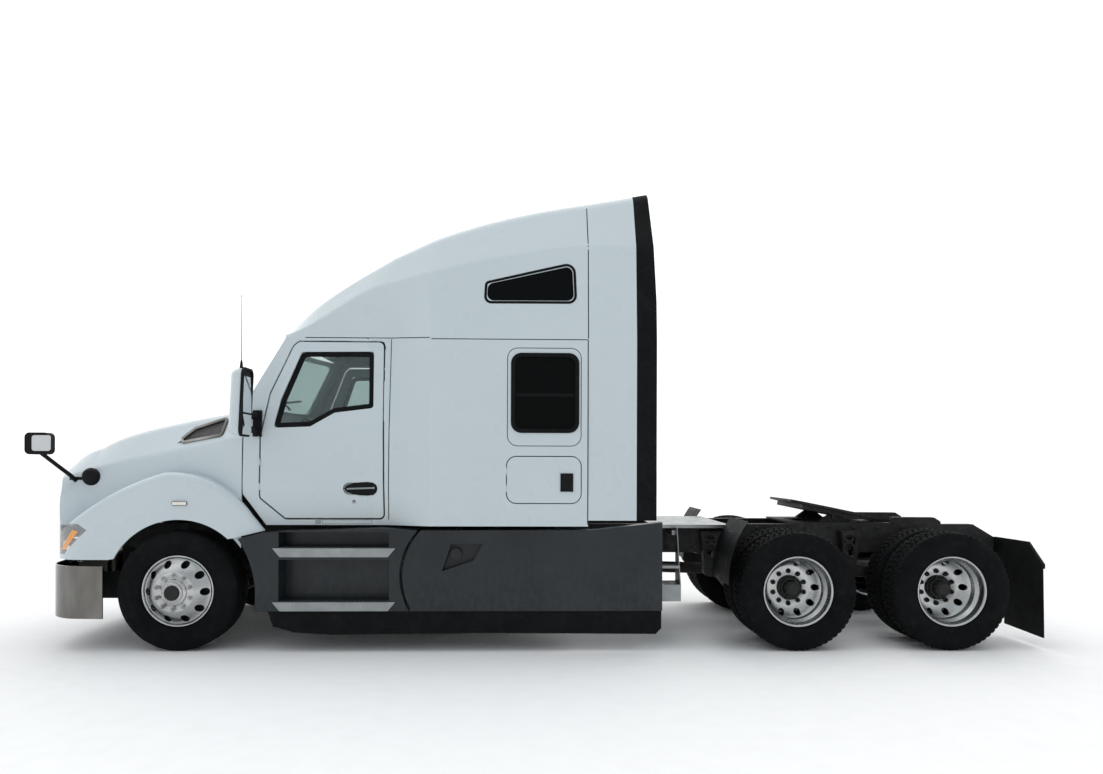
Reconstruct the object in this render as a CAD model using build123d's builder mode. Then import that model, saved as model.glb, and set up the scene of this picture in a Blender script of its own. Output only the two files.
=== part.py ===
"""Sleeper-cab tractor unit with two driven rear axles. All sizes are in millimetres.

The row stands on the ground, Z up, with its nose towards -X and the driver's side
towards -Y.  Its origin is on the ground under the middle of the truck.  The planes
SIDE, LEVEL and FRONT start at the front axle, so every X written below is a distance
behind the front axle.
"""
import os
from math import atan2, cos, degrees, hypot, radians, sin, tan

from build123d import *

os.makedirs("parts", exist_ok=True)

# ---------------------------------------------------------------- driving dimensions
FRONT_AXLE_X = -3070.0      # front axle, from the middle of the truck
DRIVE_AXLE_X = 5229.0       # first driven axle, behind the front axle
TANDEM_SPACING = 1321.0     # first to second driven axle

TYRE_RADIUS = 505.0
TYRE_WIDTH = 296.0
TREAD_WIDTH = 212.0
BEAD_RADIUS = 286.0
RIM_FLANGE_RADIUS = 299.0
RIM_WIDTH = 250.0
RIM_WALL = 9.0
RIM_FLANGE = 12.0           # thickness of the rim's flange along the axle
HUB_HEIGHT = TYRE_RADIUS
FIT_GAP = 0.3               # between parts that seat on each other

STEER_TYRE_Y = 1017.0       # centre plane of a steered tyre
OUTER_TYRE_Y = 1077.0       # centre plane of an outer driven tyre
DUAL_SPACING = 335.0        # between the centre planes of twin tyres
KINGPIN_Y = 870.0

RAIL_OUTER_Y = 432.0
RAIL_TOP = 1022.0
RAIL_HEIGHT = 268.0
RAIL_FLANGE = 80.0
RAIL_WALL = 10.0
RAIL_FRONT_X = -1010.0
RAIL_REAR_X = 7398.0

CAB_WALL = 50.0             # door and body wall, skin to lining
CAB_FRONT_X = 512.0         # cowl side panel behind the hood
CAB_REAR_X = 1740.0         # seam between the cab and the sleeper
FLARE_END_X = 2106.0        # where the sleeper reaches its full width
SLEEPER_REAR_X = 3440.0
CAB_FLOOR_Z = 1055.0
CAB_ROOF_SEAM_Z = 2668.0
SLEEPER_ROOF_SEAM_Z = 2634.0
SEAM_GAP = 8.0

HOOD_WALL = 14.0
HOOD_REAR_X = 500.0
GRILLE_X = -1215.0
ARCH_RADIUS = 600.0
ARCH_CENTRE_X = 15.0
FENDER_OUTER_Y = 1168.0

FAIRING_OUTER_Y = 1205.0
FAIRING_WALL = 18.0
FAIRING_BOTTOM = 346.0

FIFTH_WHEEL_X = 5868.0      # pivot of the fifth wheel plate
FIFTH_WHEEL_PIVOT_Z = 1098.0
FIFTH_WHEEL_TILT = 11.5     # rest angle, rear edge down
KINGPIN_BORE_RADIUS = 25.6

# ------------------------------------------------------------------ reference planes
SIDE = Plane(origin=(FRONT_AXLE_X, 0, 0), x_dir=(1, 0, 0), z_dir=(0, -1, 0))
LEVEL = Plane(origin=(FRONT_AXLE_X, 0, 0), x_dir=(1, 0, 0), z_dir=(0, 0, 1))
FRONT = Plane(origin=(FRONT_AXLE_X, 0, 0), x_dir=(0, 1, 0), z_dir=(1, 0, 0))
DRIVER, PASSENGER = 1, -1   # offset of SIDE towards each side of the truck
SIDES = {"left": DRIVER, "right": PASSENGER}


def side(y):
    """The side-view plane, moved y towards the driver's side."""
    return SIDE.offset(y)


def across(x):
    """The cross-section plane x behind the front axle."""
    return FRONT.offset(x)


def rounded_section(x, half, radii):
    """Closed section across the truck at x, with one corner radius per point of the half section."""
    with BuildSketch(across(x)) as section:
        Polygon(*(half + [(-w, z) for w, z in reversed(half)]), align=None)
        for (w, z), radius in zip(half, radii):
            if radius:
                near = sorted(section.vertices(), key=lambda v: hypot(abs(v.X) - w, v.Y - z))
                fillet(near[:2], radius)
    return section.sketch


def save(piece, node):
    """Label a finished piece and write its STEP file."""
    piece.part.label = node
    export_step(piece.part, f"parts/{node}.step")


# ----------------------------------------------------------------------------- frame
RAIL_BOTTOM = RAIL_TOP - RAIL_HEIGHT
CROSSMEMBER_X = (-930.0, 1640.0, 2300.0, 3300.0, 4420.0, 5889.0, 7250.0)
CROSSMEMBER_LENGTH = 90.0

with BuildPart() as frame:
    with BuildSketch(across(RAIL_FRONT_X)):
        with Locations((RAIL_OUTER_Y - RAIL_FLANGE / 2, RAIL_TOP - RAIL_HEIGHT / 2)):
            Rectangle(RAIL_FLANGE, RAIL_HEIGHT)
        with Locations((RAIL_OUTER_Y - (RAIL_FLANGE + RAIL_WALL) / 2, RAIL_TOP - RAIL_HEIGHT / 2)):
            Rectangle(RAIL_FLANGE - RAIL_WALL, RAIL_HEIGHT - 2 * RAIL_WALL, mode=Mode.SUBTRACT)
    extrude(amount=RAIL_REAR_X - RAIL_FRONT_X)
    # The tail is cut off at a slope, and the nose is cut back above the bumper.
    with BuildSketch(side(-600)):
        Polygon((7169, RAIL_TOP + 1), (RAIL_REAR_X + 1, 886), (RAIL_REAR_X + 1, RAIL_TOP + 1), align=None)
        Polygon((RAIL_FRONT_X - 1, 900), (RAIL_FRONT_X - 1, RAIL_TOP + 1), (-760, RAIL_TOP + 1),
                align=None)
    extrude(amount=600, mode=Mode.SUBTRACT)
    mirror(about=Plane.XZ)
    web_gap = 2 * (RAIL_OUTER_Y - RAIL_WALL)
    for x in CROSSMEMBER_X:
        with Locations((FRONT_AXLE_X + x, 0, RAIL_BOTTOM + RAIL_HEIGHT * 0.36)):
            Box(CROSSMEMBER_LENGTH, web_gap, RAIL_HEIGHT * 0.52)
            Box(CROSSMEMBER_LENGTH, web_gap - 180, RAIL_HEIGHT * 0.52 - 2 * RAIL_WALL, mode=Mode.SUBTRACT)
save(frame, "frame")

# ---------------------------------------------------------------------- front axle
KINGPIN_RADIUS = 24.0
BOSS_RADIUS = 52.0
BOSS_HEIGHT = 120.0
SPRING_Y = 430.0
SPRING_WIDTH = 90.0
SPRING_THICKNESS = 42.0
SPRING_SEAT_Z = 470.0
BEAM_DEPTH = 96.0

with BuildPart() as front_axle:
    with BuildSketch(across(-BEAM_DEPTH / 2)):
        Polygon((0, 345), (330, 345), (400, 395), (560, 395), (KINGPIN_Y - 30, HUB_HEIGHT - 55),
                (KINGPIN_Y - 30, HUB_HEIGHT + 55), (560, SPRING_SEAT_Z), (390, SPRING_SEAT_Z),
                (300, 430), (0, 430), align=None)
    extrude(amount=BEAM_DEPTH)
    # Pockets on the front and rear faces leave an I section.
    with BuildSketch(across(-BEAM_DEPTH / 2)):
        Polygon((-1, 365), (320, 365), (390, 412), (560, 412), (760, 460), (760, 520), (560, 450),
                (400, 450), (310, 410), (-1, 410), align=None)
    extrude(amount=BEAM_DEPTH / 2 - 12, mode=Mode.SUBTRACT)
    with BuildSketch(across(BEAM_DEPTH / 2)):
        Polygon((-1, 365), (320, 365), (390, 412), (560, 412), (760, 460), (760, 520), (560, 450),
                (400, 450), (310, 410), (-1, 410), align=None)
    extrude(amount=-(BEAM_DEPTH / 2 - 12), mode=Mode.SUBTRACT)
    with Locations((FRONT_AXLE_X, KINGPIN_Y, HUB_HEIGHT)):
        Cylinder(BOSS_RADIUS, BOSS_HEIGHT)
        Cylinder(KINGPIN_RADIUS, BOSS_HEIGHT + 110)
    mirror(about=Plane.XZ)
save(front_axle, "front_axle")

SPRING_HALF_LENGTH = 690.0
SPRING_EYE_Z = 640.0
with BuildPart() as front_springs:
    with BuildSketch(side(-SPRING_Y - SPRING_WIDTH / 2)):
        with BuildLine():
            ends = ((-SPRING_HALF_LENGTH, SPRING_EYE_Z), (SPRING_HALF_LENGTH, SPRING_EYE_Z))
            low = ThreePointArc(ends[0], (0, SPRING_SEAT_Z), ends[1])
            Line(ends[1], (ends[1][0], ends[1][1] + SPRING_THICKNESS))
            ThreePointArc((ends[1][0], ends[1][1] + SPRING_THICKNESS),
                          (0, SPRING_SEAT_Z + SPRING_THICKNESS),
                          (ends[0][0], ends[0][1] + SPRING_THICKNESS))
            Line((ends[0][0], ends[0][1] + SPRING_THICKNESS), ends[0])
        make_face()
        # Brackets under the rails, ahead and behind.
        for end in (-1, 1):
            Polygon((end * (SPRING_HALF_LENGTH - 60), RAIL_BOTTOM),
                    (end * (SPRING_HALF_LENGTH + 60), RAIL_BOTTOM),
                    (end * (SPRING_HALF_LENGTH + 35), SPRING_EYE_Z - 25),
                    (end * (SPRING_HALF_LENGTH - 25), SPRING_EYE_Z - 25), align=None)
        # The axle clamp over the leaves.
        with Locations((0, SPRING_SEAT_Z + SPRING_THICKNESS + 22)):
            Rectangle(190, 44)
    extrude(amount=SPRING_WIDTH)
    with Locations((FRONT_AXLE_X, SPRING_Y, (SPRING_SEAT_Z + SPRING_THICKNESS + RAIL_BOTTOM) / 2 + 22)):
        Cylinder(26, RAIL_BOTTOM - SPRING_SEAT_Z - SPRING_THICKNESS - 44)
    mirror(about=Plane.XZ)
save(front_springs, "front_springs")

# ------------------------------------------------------------- knuckles and tie rod
SPINDLE_RADIUS = 42.0
SPINDLE_END_Y = 1150.0
KNUCKLE_FACE_Y = 955.0      # outboard face of the fork, where the spindle starts
ARM_Y = KINGPIN_Y           # straight arms: the tie rod stays parallel to the axle
ARM_X = 185.0
ARM_Z = 415.0
ARM_PIN_RADIUS = 14.0
TIE_ROD_RADIUS = 19.0

for name, turn in SIDES.items():
    y = -turn
    with BuildPart() as knuckle:
        fork = KNUCKLE_FACE_Y - 45
        with Locations((FRONT_AXLE_X, y * fork, HUB_HEIGHT)):
            Box(110, 90, BOSS_HEIGHT + 100)
        with Locations((FRONT_AXLE_X, y * KINGPIN_Y, HUB_HEIGHT)):
            Cylinder(48, BOSS_HEIGHT + 100)
            Cylinder(BOSS_RADIUS + 8, BOSS_HEIGHT + 6, mode=Mode.SUBTRACT)
        with BuildSketch(side(turn * (fork + 44))):
            with Locations((0, HUB_HEIGHT)):
                Circle(SPINDLE_RADIUS)
        extrude(amount=turn * (SPINDLE_END_Y - fork - 44))
        # Steering arm, straight to the rear, below the axle.
        with BuildSketch(LEVEL.offset(ARM_Z - 14)):
            Polygon((-50, y * (fork - 40)), (-50, y * (fork + 40)), (50, y * (fork + 40)),
                    (ARM_X + 26, y * (ARM_Y + 26)), (ARM_X + 26, y * (ARM_Y - 26)),
                    (ARM_X - 26, y * (ARM_Y - 26)), (50, y * (fork - 40)), align=None)
        extrude(amount=28)
        with Locations((FRONT_AXLE_X, y * KINGPIN_Y, HUB_HEIGHT)):
            Cylinder(KINGPIN_RADIUS + FIT_GAP, BOSS_HEIGHT + 130, mode=Mode.SUBTRACT)
        with Locations((FRONT_AXLE_X + ARM_X, y * ARM_Y, ARM_Z - 34)):
            Cylinder(ARM_PIN_RADIUS, 70)
    save(knuckle, f"knuckle_{name}")

with BuildPart() as tie_rod:
    rod_z = ARM_Z - 48
    with BuildSketch(side(-ARM_Y)):
        with Locations((ARM_X, rod_z)):
            Circle(TIE_ROD_RADIUS)
    extrude(amount=2 * ARM_Y)
    for y in (-ARM_Y, ARM_Y):
        with Locations((FRONT_AXLE_X + ARM_X, y, rod_z)):
            Cylinder(26, 40)
            Cylinder(ARM_PIN_RADIUS + FIT_GAP, 44, mode=Mode.SUBTRACT)
save(tie_rod, "tie_rod")

# ----------------------------------------------------------------------------- wheels
BULGE_RADIUS = 408.0
SHOULDER_RADIUS = 489.0


def tyre_outline(centre_y, flip):
    """Half section of a tyre: points (distance along the axle, radius)."""
    half = TYRE_WIDTH / 2
    bead = RIM_WIDTH / 2 - RIM_FLANGE - FIT_GAP
    right = [(bead, BEAD_RADIUS), (bead, RIM_FLANGE_RADIUS + FIT_GAP), (half, BULGE_RADIUS),
             (half - 14, SHOULDER_RADIUS), (TREAD_WIDTH / 2, TYRE_RADIUS)]
    left = [(-d, r) for d, r in reversed(right)]
    return [(flip * (centre_y + d), r) for d, r in right + left]


def axle_section(x):
    """Plane through a wheel's axle: local x along the axle towards +Y, local y upwards."""
    return Plane(origin=(FRONT_AXLE_X + x, 0, HUB_HEIGHT), x_dir=(0, 1, 0), z_dir=(1, 0, 0))


HUB_BORE_RADIUS = SPINDLE_RADIUS + FIT_GAP
HAND_HOLES = 10
STEER_RIM_PROUD = 73.0      # steered disc face, outboard of its rim flange
STEER_FLANGE_Y = STEER_TYRE_Y + RIM_WIDTH / 2


def barrel(flange, inward):
    """Closed section of a rim barrel from its outer flange plane, in (axle, radius)."""
    reach = [(0, RIM_FLANGE_RADIUS), (RIM_FLANGE, RIM_FLANGE_RADIUS), (RIM_FLANGE, BEAD_RADIUS),
             (70, BEAD_RADIUS - 3),
             (105, BEAD_RADIUS - 30), (150, BEAD_RADIUS - 30), (185, BEAD_RADIUS - 3),
             (RIM_WIDTH - RIM_FLANGE, BEAD_RADIUS), (RIM_WIDTH - RIM_FLANGE, RIM_FLANGE_RADIUS),
             (RIM_WIDTH, RIM_FLANGE_RADIUS)]
    inner = [(d, r - RIM_WALL) for d, r in reversed(reach[3:-3])]
    inner = [(RIM_WIDTH, BEAD_RADIUS - RIM_WALL - 2)] + inner + [(0, BEAD_RADIUS - RIM_WALL - 2)]
    return [(flange - inward * d, r) for d, r in reach + inner]


for name, turn in SIDES.items():
    y = -turn
    with BuildPart() as steer_tyre:
        with BuildSketch(axle_section(0)):
            Polygon(*tyre_outline(STEER_TYRE_Y, y), align=None)
        revolve(axis=Axis((FRONT_AXLE_X, 0, HUB_HEIGHT), (0, 1, 0)))
    save(steer_tyre, f"steer_tyre_{name}")

    with BuildPart() as steer_rim:
        flange = STEER_FLANGE_Y
        hub_back = KNUCKLE_FACE_Y + 6
        with BuildSketch(axle_section(0)):
            Polygon(*[(y * a, r - FIT_GAP) for a, r in barrel(flange, 1)], align=None)
            # Disc: leaves the barrel near the flange and bulges outwards to a flat ring.
            disc = [(flange - 40, 277), (flange - 14, 262), (flange + 34, 220), (flange + 62, 185),
                    (flange + STEER_RIM_PROUD, 168), (flange + STEER_RIM_PROUD, 112),
                    (flange + STEER_RIM_PROUD + 12, 108), (flange + STEER_RIM_PROUD + 12, 86),
                    (flange + 118, 78), (flange + 118, 0), (flange + 26, 0), (flange + 26, HUB_BORE_RADIUS),
                    (hub_back, HUB_BORE_RADIUS), (hub_back, 95), (flange + 20, 110),
                    (flange + STEER_RIM_PROUD - 24, 130), (flange + STEER_RIM_PROUD - 24, 160),
                    (flange + 42, 178), (flange + 14, 210), (flange - 34, 251), (flange - 62, 262)]
            Polygon(*[(y * a, r) for a, r in disc], align=None)
            # Brake drum, open towards the axle.
            drum = [(flange - 70, 90), (flange - 70, 205), (flange - 215, 205), (flange - 215, 190),
                    (flange - 84, 190), (flange - 84, 90)]
            Polygon(*[(y * a, r) for a, r in drum], align=None)
        revolve(axis=Axis((FRONT_AXLE_X, 0, HUB_HEIGHT), (0, 1, 0)))
        with BuildSketch(Plane(origin=(FRONT_AXLE_X, y * (flange - 20), HUB_HEIGHT), x_dir=(1, 0, 0),
                               z_dir=(0, y, 0))):
            with PolarLocations(214, HAND_HOLES, start_angle=18):
                Circle(25)
        extrude(amount=120, mode=Mode.SUBTRACT)
    save(steer_rim, f"steer_rim_{name}")

DRIVE_FLANGE_Y = OUTER_TYRE_Y + RIM_WIDTH / 2
DISC_JOINT_Y = OUTER_TYRE_Y - DUAL_SPACING / 2
DISC_THICKNESS = 26.0
DRIVE_WHEELS = {"drive1": DRIVE_AXLE_X, "drive2": DRIVE_AXLE_X + TANDEM_SPACING}
AXLE_END_RADIUS = 52.0
AXLE_END_Y = 1020.0

for axle, x in DRIVE_WHEELS.items():
    for name, turn in SIDES.items():
        y = -turn
        with BuildPart() as drive_tyres:
            with BuildSketch(axle_section(x)):
                Polygon(*tyre_outline(OUTER_TYRE_Y, y), align=None)
                Polygon(*tyre_outline(OUTER_TYRE_Y - DUAL_SPACING, y), align=None)
            revolve(axis=Axis((FRONT_AXLE_X + x, 0, HUB_HEIGHT), (0, 1, 0)))
        save(drive_tyres, f"{axle}_tyres_{name}")

        with BuildPart() as drive_rims:
            with BuildSketch(axle_section(x)):
                Polygon(*[(y * a, r - FIT_GAP) for a, r in barrel(DRIVE_FLANGE_Y, 1)], align=None)
                inner_flange = 2 * DISC_JOINT_Y - DRIVE_FLANGE_Y
                Polygon(*[(y * a, r - FIT_GAP) for a, r in barrel(inner_flange, -1)], align=None)
                # The two discs meet face to face between the tyres.
                half_disc = [(0, 100), (0, 190), (60, 246), (96, 279), (118, 279), (84, 230),
                             (DISC_THICKNESS, 186), (DISC_THICKNESS, 100)]
                for way in (1, -1):
                    Polygon(*[(y * (DISC_JOINT_Y + way * a), r) for a, r in half_disc], align=None)
                hub = [(DISC_JOINT_Y - 190, 100), (DISC_JOINT_Y + 60, 105), (DISC_JOINT_Y + 60, 88),
                       (DISC_JOINT_Y + 150, 76), (DISC_JOINT_Y + 165, 60), (DISC_JOINT_Y + 165, 0),
                       (AXLE_END_Y + 2, 0), (AXLE_END_Y + 2, AXLE_END_RADIUS + FIT_GAP),
                       (DISC_JOINT_Y - 190, AXLE_END_RADIUS + FIT_GAP)]
                Polygon(*[(y * a, r) for a, r in hub], align=None)
                drum = [(DISC_JOINT_Y - 40, 95), (DISC_JOINT_Y - 40, 210), (DISC_JOINT_Y - 250, 210),
                        (DISC_JOINT_Y - 250, 192), (DISC_JOINT_Y - 56, 192), (DISC_JOINT_Y - 56, 95)]
                Polygon(*[(y * a, r) for a, r in drum], align=None)
            revolve(axis=Axis((FRONT_AXLE_X + x, 0, HUB_HEIGHT), (0, 1, 0)))
            with BuildSketch(Plane(origin=(FRONT_AXLE_X + x, y * DISC_JOINT_Y, HUB_HEIGHT), x_dir=(1, 0, 0),
                                   z_dir=(0, y, 0))):
                with PolarLocations(222, HAND_HOLES, start_angle=18):
                    Circle(22)
            extrude(amount=130, both=True, mode=Mode.SUBTRACT)
        save(drive_rims, f"{axle}_rims_{name}")

# ---------------------------------------------------------------------- drive axles
AXLE_TUBE_RADIUS = 74.0
BANJO_RADIUS = 215.0
AXLE_TUBE_END_Y = 640.0

with BuildPart() as drive_axles:
    for x in DRIVE_WHEELS.values():
        with BuildSketch(axle_section(x)):
            Polygon((0, 0), (0, BANJO_RADIUS), (90, BANJO_RADIUS - 12), (210, 110),
                    (240, AXLE_TUBE_RADIUS), (AXLE_TUBE_END_Y, AXLE_TUBE_RADIUS),
                    (AXLE_TUBE_END_Y, AXLE_END_RADIUS + 10), (AXLE_TUBE_END_Y + 60, AXLE_END_RADIUS),
                    (AXLE_END_Y, AXLE_END_RADIUS), (AXLE_END_Y, 0), align=None)
        revolve(axis=Axis((FRONT_AXLE_X + x, 0, HUB_HEIGHT), (0, 1, 0)))
        # Pinion housing, towards the gearbox.
        with BuildSketch(across(x - 360)):
            with Locations((0, HUB_HEIGHT + 40)):
                Circle(85)
        extrude(amount=260)
    mirror(about=Plane.XZ)
save(drive_axles, "drive_axles")

PROPSHAFT_RADIUS = 55.0
GEARBOX_REAR_X = 1560.0
with BuildPart() as propshafts:
    for start, end, start_z in ((GEARBOX_REAR_X + FIT_GAP, DRIVE_AXLE_X - 360 - FIT_GAP, 640.0),
                                (DRIVE_AXLE_X + BANJO_RADIUS + FIT_GAP,
                                 DRIVE_AXLE_X + TANDEM_SPACING - 360 - FIT_GAP, HUB_HEIGHT + 40)):
        with BuildSketch(across(start)):
            with Locations((0, start_z)):
                Circle(PROPSHAFT_RADIUS)
        with BuildSketch(across(end)):
            with Locations((0, HUB_HEIGHT + 40)):
                Circle(PROPSHAFT_RADIUS)
        loft(ruled=True)
save(propshafts, "propshafts")

# ------------------------------------------------------------------- rear suspension
BEAM_Y = 500.0
BEAM_WIDTH = 86.0
AIR_SPRING_RADIUS = 104.0
AIR_SPRING_Y = 476.0
HANGER_AHEAD = 600.0        # hanger pivot ahead of its axle
AIR_SPRING_BEHIND = 330.0
BEAM_SEAT_Z = HUB_HEIGHT + AXLE_TUBE_RADIUS + FIT_GAP

with BuildPart() as rear_suspension:
    for x in DRIVE_WHEELS.values():
        # Cast hanger, trailing beam over the axle and the air spring seat, as one side view.
        with BuildSketch(side(-BEAM_Y - BEAM_WIDTH / 2)):
            Polygon((x - HANGER_AHEAD - 45, 640), (x - HANGER_AHEAD + 40, 650), (x - 120, 600),
                    (x + 90, 590), (x + AIR_SPRING_BEHIND + 120, 470), (x + AIR_SPRING_BEHIND + 120, 430),
                    (x + AIR_SPRING_BEHIND - 130, 430), (x + 100, 540), (x + 86, BEAM_SEAT_Z),
                    (x - 86, BEAM_SEAT_Z), (x - 110, 530), (x - HANGER_AHEAD + 30, 545),
                    (x - HANGER_AHEAD - 45, 560), align=None)
        extrude(amount=BEAM_WIDTH)
        with BuildSketch(side(-BEAM_Y - BEAM_WIDTH / 2)):
            with Locations((x - HANGER_AHEAD, 600)):
                Circle(62)
            Polygon((x - HANGER_AHEAD - 90, RAIL_TOP - 60), (x - HANGER_AHEAD + 90, RAIL_TOP - 60),
                    (x - HANGER_AHEAD + 50, 600), (x - HANGER_AHEAD - 50, 600), align=None)
            Polygon((x - HANGER_AHEAD - 48, RAIL_TOP - 110), (x - HANGER_AHEAD + 48, RAIL_TOP - 110),
                    (x - HANGER_AHEAD + 24, 720), (x - HANGER_AHEAD - 24, 720), align=None,
                    mode=Mode.SUBTRACT)
        extrude(amount=BEAM_WIDTH)
        with BuildSketch(side(-BEAM_Y)):
            Polygon((x - HANGER_AHEAD - 90, RAIL_TOP - 60), (x - HANGER_AHEAD + 90, RAIL_TOP - 60),
                    (x - HANGER_AHEAD + 74, RAIL_TOP - 240), (x - HANGER_AHEAD - 74, RAIL_TOP - 240),
                    align=None)
        extrude(amount=BEAM_Y - RAIL_OUTER_Y - FIT_GAP)
        # Air spring between the beam's end and a shelf on the rail.
        with BuildSketch(LEVEL.offset(470)):
            with Locations((x + AIR_SPRING_BEHIND, AIR_SPRING_Y)):
                Circle(AIR_SPRING_RADIUS - 36)
        extrude(amount=RAIL_BOTTOM - 470 - 14)
        with BuildSketch(LEVEL.offset(520)):
            with Locations((x + AIR_SPRING_BEHIND, AIR_SPRING_Y)):
                Circle(AIR_SPRING_RADIUS)
        extrude(amount=170)
        with Locations((FRONT_AXLE_X + x + AIR_SPRING_BEHIND, AIR_SPRING_Y - 20, RAIL_BOTTOM - 7)):
            Box(220, 200, 14)
    mirror(about=Plane.XZ)
save(rear_suspension, "rear_suspension")

# ------------------------------------------------------------------ engine, radiator
with BuildPart() as engine:
    with BuildSketch(across(-520)):
        Polygon((-150, 600), (150, 600), (170, 780), (255, 860), (255, 1240), (160, 1420), (-160, 1420),
                (-255, 1240), (-255, 860), (-170, 780), align=None)
    extrude(amount=960)
    # Clutch housing and gearbox.
    with BuildSketch(across(440)):
        with Locations((0, 760)):
            Circle(250)
    with BuildSketch(across(760)):
        with Locations((0, 740)):
            Circle(190)
    loft(ruled=True)
    with BuildSketch(across(760)):
        with Locations((0, 740)):
            RectangleRounded(360, 400, 60)
    extrude(amount=660)
    with BuildSketch(across(1420)):
        with Locations((0, 640)):
            Circle(90)
    extrude(amount=GEARBOX_REAR_X - 1420)
    # Mounts onto the rails.
    for x in (-430, 400):
        with Locations((FRONT_AXLE_X + x, 0, 880)):
            Box(110, 2 * (RAIL_OUTER_Y - RAIL_FLANGE) - 2 * FIT_GAP, 60)
save(engine, "engine")

RADIATOR_FRONT_X = -860.0
RADIATOR_Z = 1275.0
RADIATOR_HEIGHT = 440.0
with BuildPart() as radiator:
    with BuildSketch(across(RADIATOR_FRONT_X)):
        with Locations((0, RADIATOR_Z)):
            RectangleRounded(900, RADIATOR_HEIGHT, 30)
    extrude(amount=110)
    # Side tanks, feet on the rails and the fan shroud behind.
    for y in (-1, 1):
        with Locations((FRONT_AXLE_X + RADIATOR_FRONT_X + 55, y * 478, RADIATOR_Z)):
            Box(90, 60, RADIATOR_HEIGHT)
        with Locations((FRONT_AXLE_X + RADIATOR_FRONT_X + 130, y * 390, RAIL_TOP + FIT_GAP + 30)):
            Box(56, 60, 60)
    with BuildSketch(across(RADIATOR_FRONT_X + 110)):
        with Locations((0, RADIATOR_Z)):
            RectangleRounded(840, RADIATOR_HEIGHT - 10, 40)
    with BuildSketch(across(RADIATOR_FRONT_X + 180)):
        with Locations((0, RADIATOR_Z)):
            RectangleRounded(520, RADIATOR_HEIGHT - 10, 40)
    loft(ruled=True)
    with BuildSketch(across(RADIATOR_FRONT_X + 130)):
        with Locations((0, RADIATOR_Z)):
            Circle(200)
    extrude(amount=120, mode=Mode.SUBTRACT)
save(radiator, "radiator")

# ------------------------------------------------------------- cab and sleeper shells
# Half sections of the body, from the floor up: half width, height.
CAB_SECTION = ((1050.0, CAB_FLOOR_Z), (1075.0, 1400.0), (1055.0, 1870.0), (945.0, CAB_ROOF_SEAM_Z))
SLEEPER_SECTION = ((1192.0, CAB_FLOOR_Z), (1197.0, 1400.0), (1197.0, 1870.0),
                   (1190.0, SLEEPER_ROOF_SEAM_Z))
WINDSHIELD_BASE_Z = 2086.0
WINDSHIELD_RUN = 326.0      # windshield slope: this far back for that far up
WINDSHIELD_RISE = 593.0
COWL_CENTRE_X = 310.0       # foremost point of the windshield's foot
COWL_SHOULDER_Y = 850.0
COWL_DEPTH = 120.0          # height of the cowl's front edge below the glass
COWL_STEP = 8.0             # the cowl's face lies this far behind the glass line


def both_sides(half, inset=0.0, lift=0.0):
    """A closed section from a half section, drawn in by inset, its foot raised by lift."""
    right = [(w - inset, z + (lift if i == 0 else 0)) for i, (w, z) in enumerate(half)]
    return right + [(-w, z) for w, z in reversed(right)]


def cab_volume(inset, rear, top):
    """Solid of the cab's outside (inset 0) or of the space inside its walls."""
    section = [*CAB_SECTION[:-1], (CAB_SECTION[-1][0], CAB_ROOF_SEAM_Z)]
    if top:
        section.append((CAB_SECTION[-1][0] - 5, CAB_ROOF_SEAM_Z + top))
    slope = Vector(WINDSHIELD_RUN, 0, WINDSHIELD_RISE).normalized()
    front = CAB_FRONT_X + inset
    bulge = front - COWL_CENTRE_X - inset * 1.1
    with BuildPart() as nose:
        # The glass lies on a cylinder that leans back with the windshield.
        with BuildSketch(Plane(origin=(FRONT_AXLE_X + front, 0, WINDSHIELD_BASE_Z),
                               x_dir=(slope.Z, 0, -slope.X), z_dir=slope)) as glass_plan:
            with BuildLine():
                ThreePointArc((0, -COWL_SHOULDER_Y), (-bulge * slope.Z, 0), (0, COWL_SHOULDER_Y))
                Polyline((0, COWL_SHOULDER_Y), (0, 1400), (3200, 1400), (3200, -1400),
                         (0, -1400), (0, -COWL_SHOULDER_Y))
            make_face()
        extrude(glass_plan.sketch, amount=1000, both=True)
        with Locations((FRONT_AXLE_X + 1800, 0, WINDSHIELD_BASE_Z - 1500)):
            Box(8000, 3000, 3000, mode=Mode.SUBTRACT)
        # Below it the cowl stands upright, a step further back.
        with BuildSketch(LEVEL.offset(WINDSHIELD_BASE_Z)) as cowl_plan:
            with BuildLine():
                ThreePointArc((front, -COWL_SHOULDER_Y + 20), (front - bulge + COWL_STEP, 0),
                              (front, COWL_SHOULDER_Y - 20))
                Polyline((front, COWL_SHOULDER_Y - 20), (front + 300, 0), (front, -COWL_SHOULDER_Y + 20))
            make_face()
        extrude(cowl_plan.sketch, amount=COWL_DEPTH - inset, dir=(0, 0, -1))
        with BuildSketch(LEVEL.offset(900)) as foot:
            with Locations(((front + 3600) / 2, 0)):
                Rectangle(3600 - front, 2800)
        extrude(foot.sketch, amount=WINDSHIELD_BASE_Z - 900)
    with BuildPart() as volume:
        with BuildSketch(across(200)):
            Polygon(*both_sides(section, inset, inset), align=None)
        extrude(amount=rear - 200)
        add(nose.part, mode=Mode.INTERSECT)
        # Toe board: the lower front corner slopes back over the wheel.
        with BuildSketch(side(-1300)):
            toe_x = CAB_FRONT_X + 235 + inset
            Polygon((100, 900), (toe_x, 900), (toe_x, CAB_FLOOR_Z - 60), (CAB_FRONT_X + inset, 1320),
                    (100, 1320), align=None)
        extrude(amount=2600, mode=Mode.SUBTRACT)
    return volume.part


CAB_OUTSIDE = cab_volume(0, CAB_REAR_X, 0)
CAB_INSIDE = cab_volume(CAB_WALL, CAB_REAR_X + 10, 200)

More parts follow.
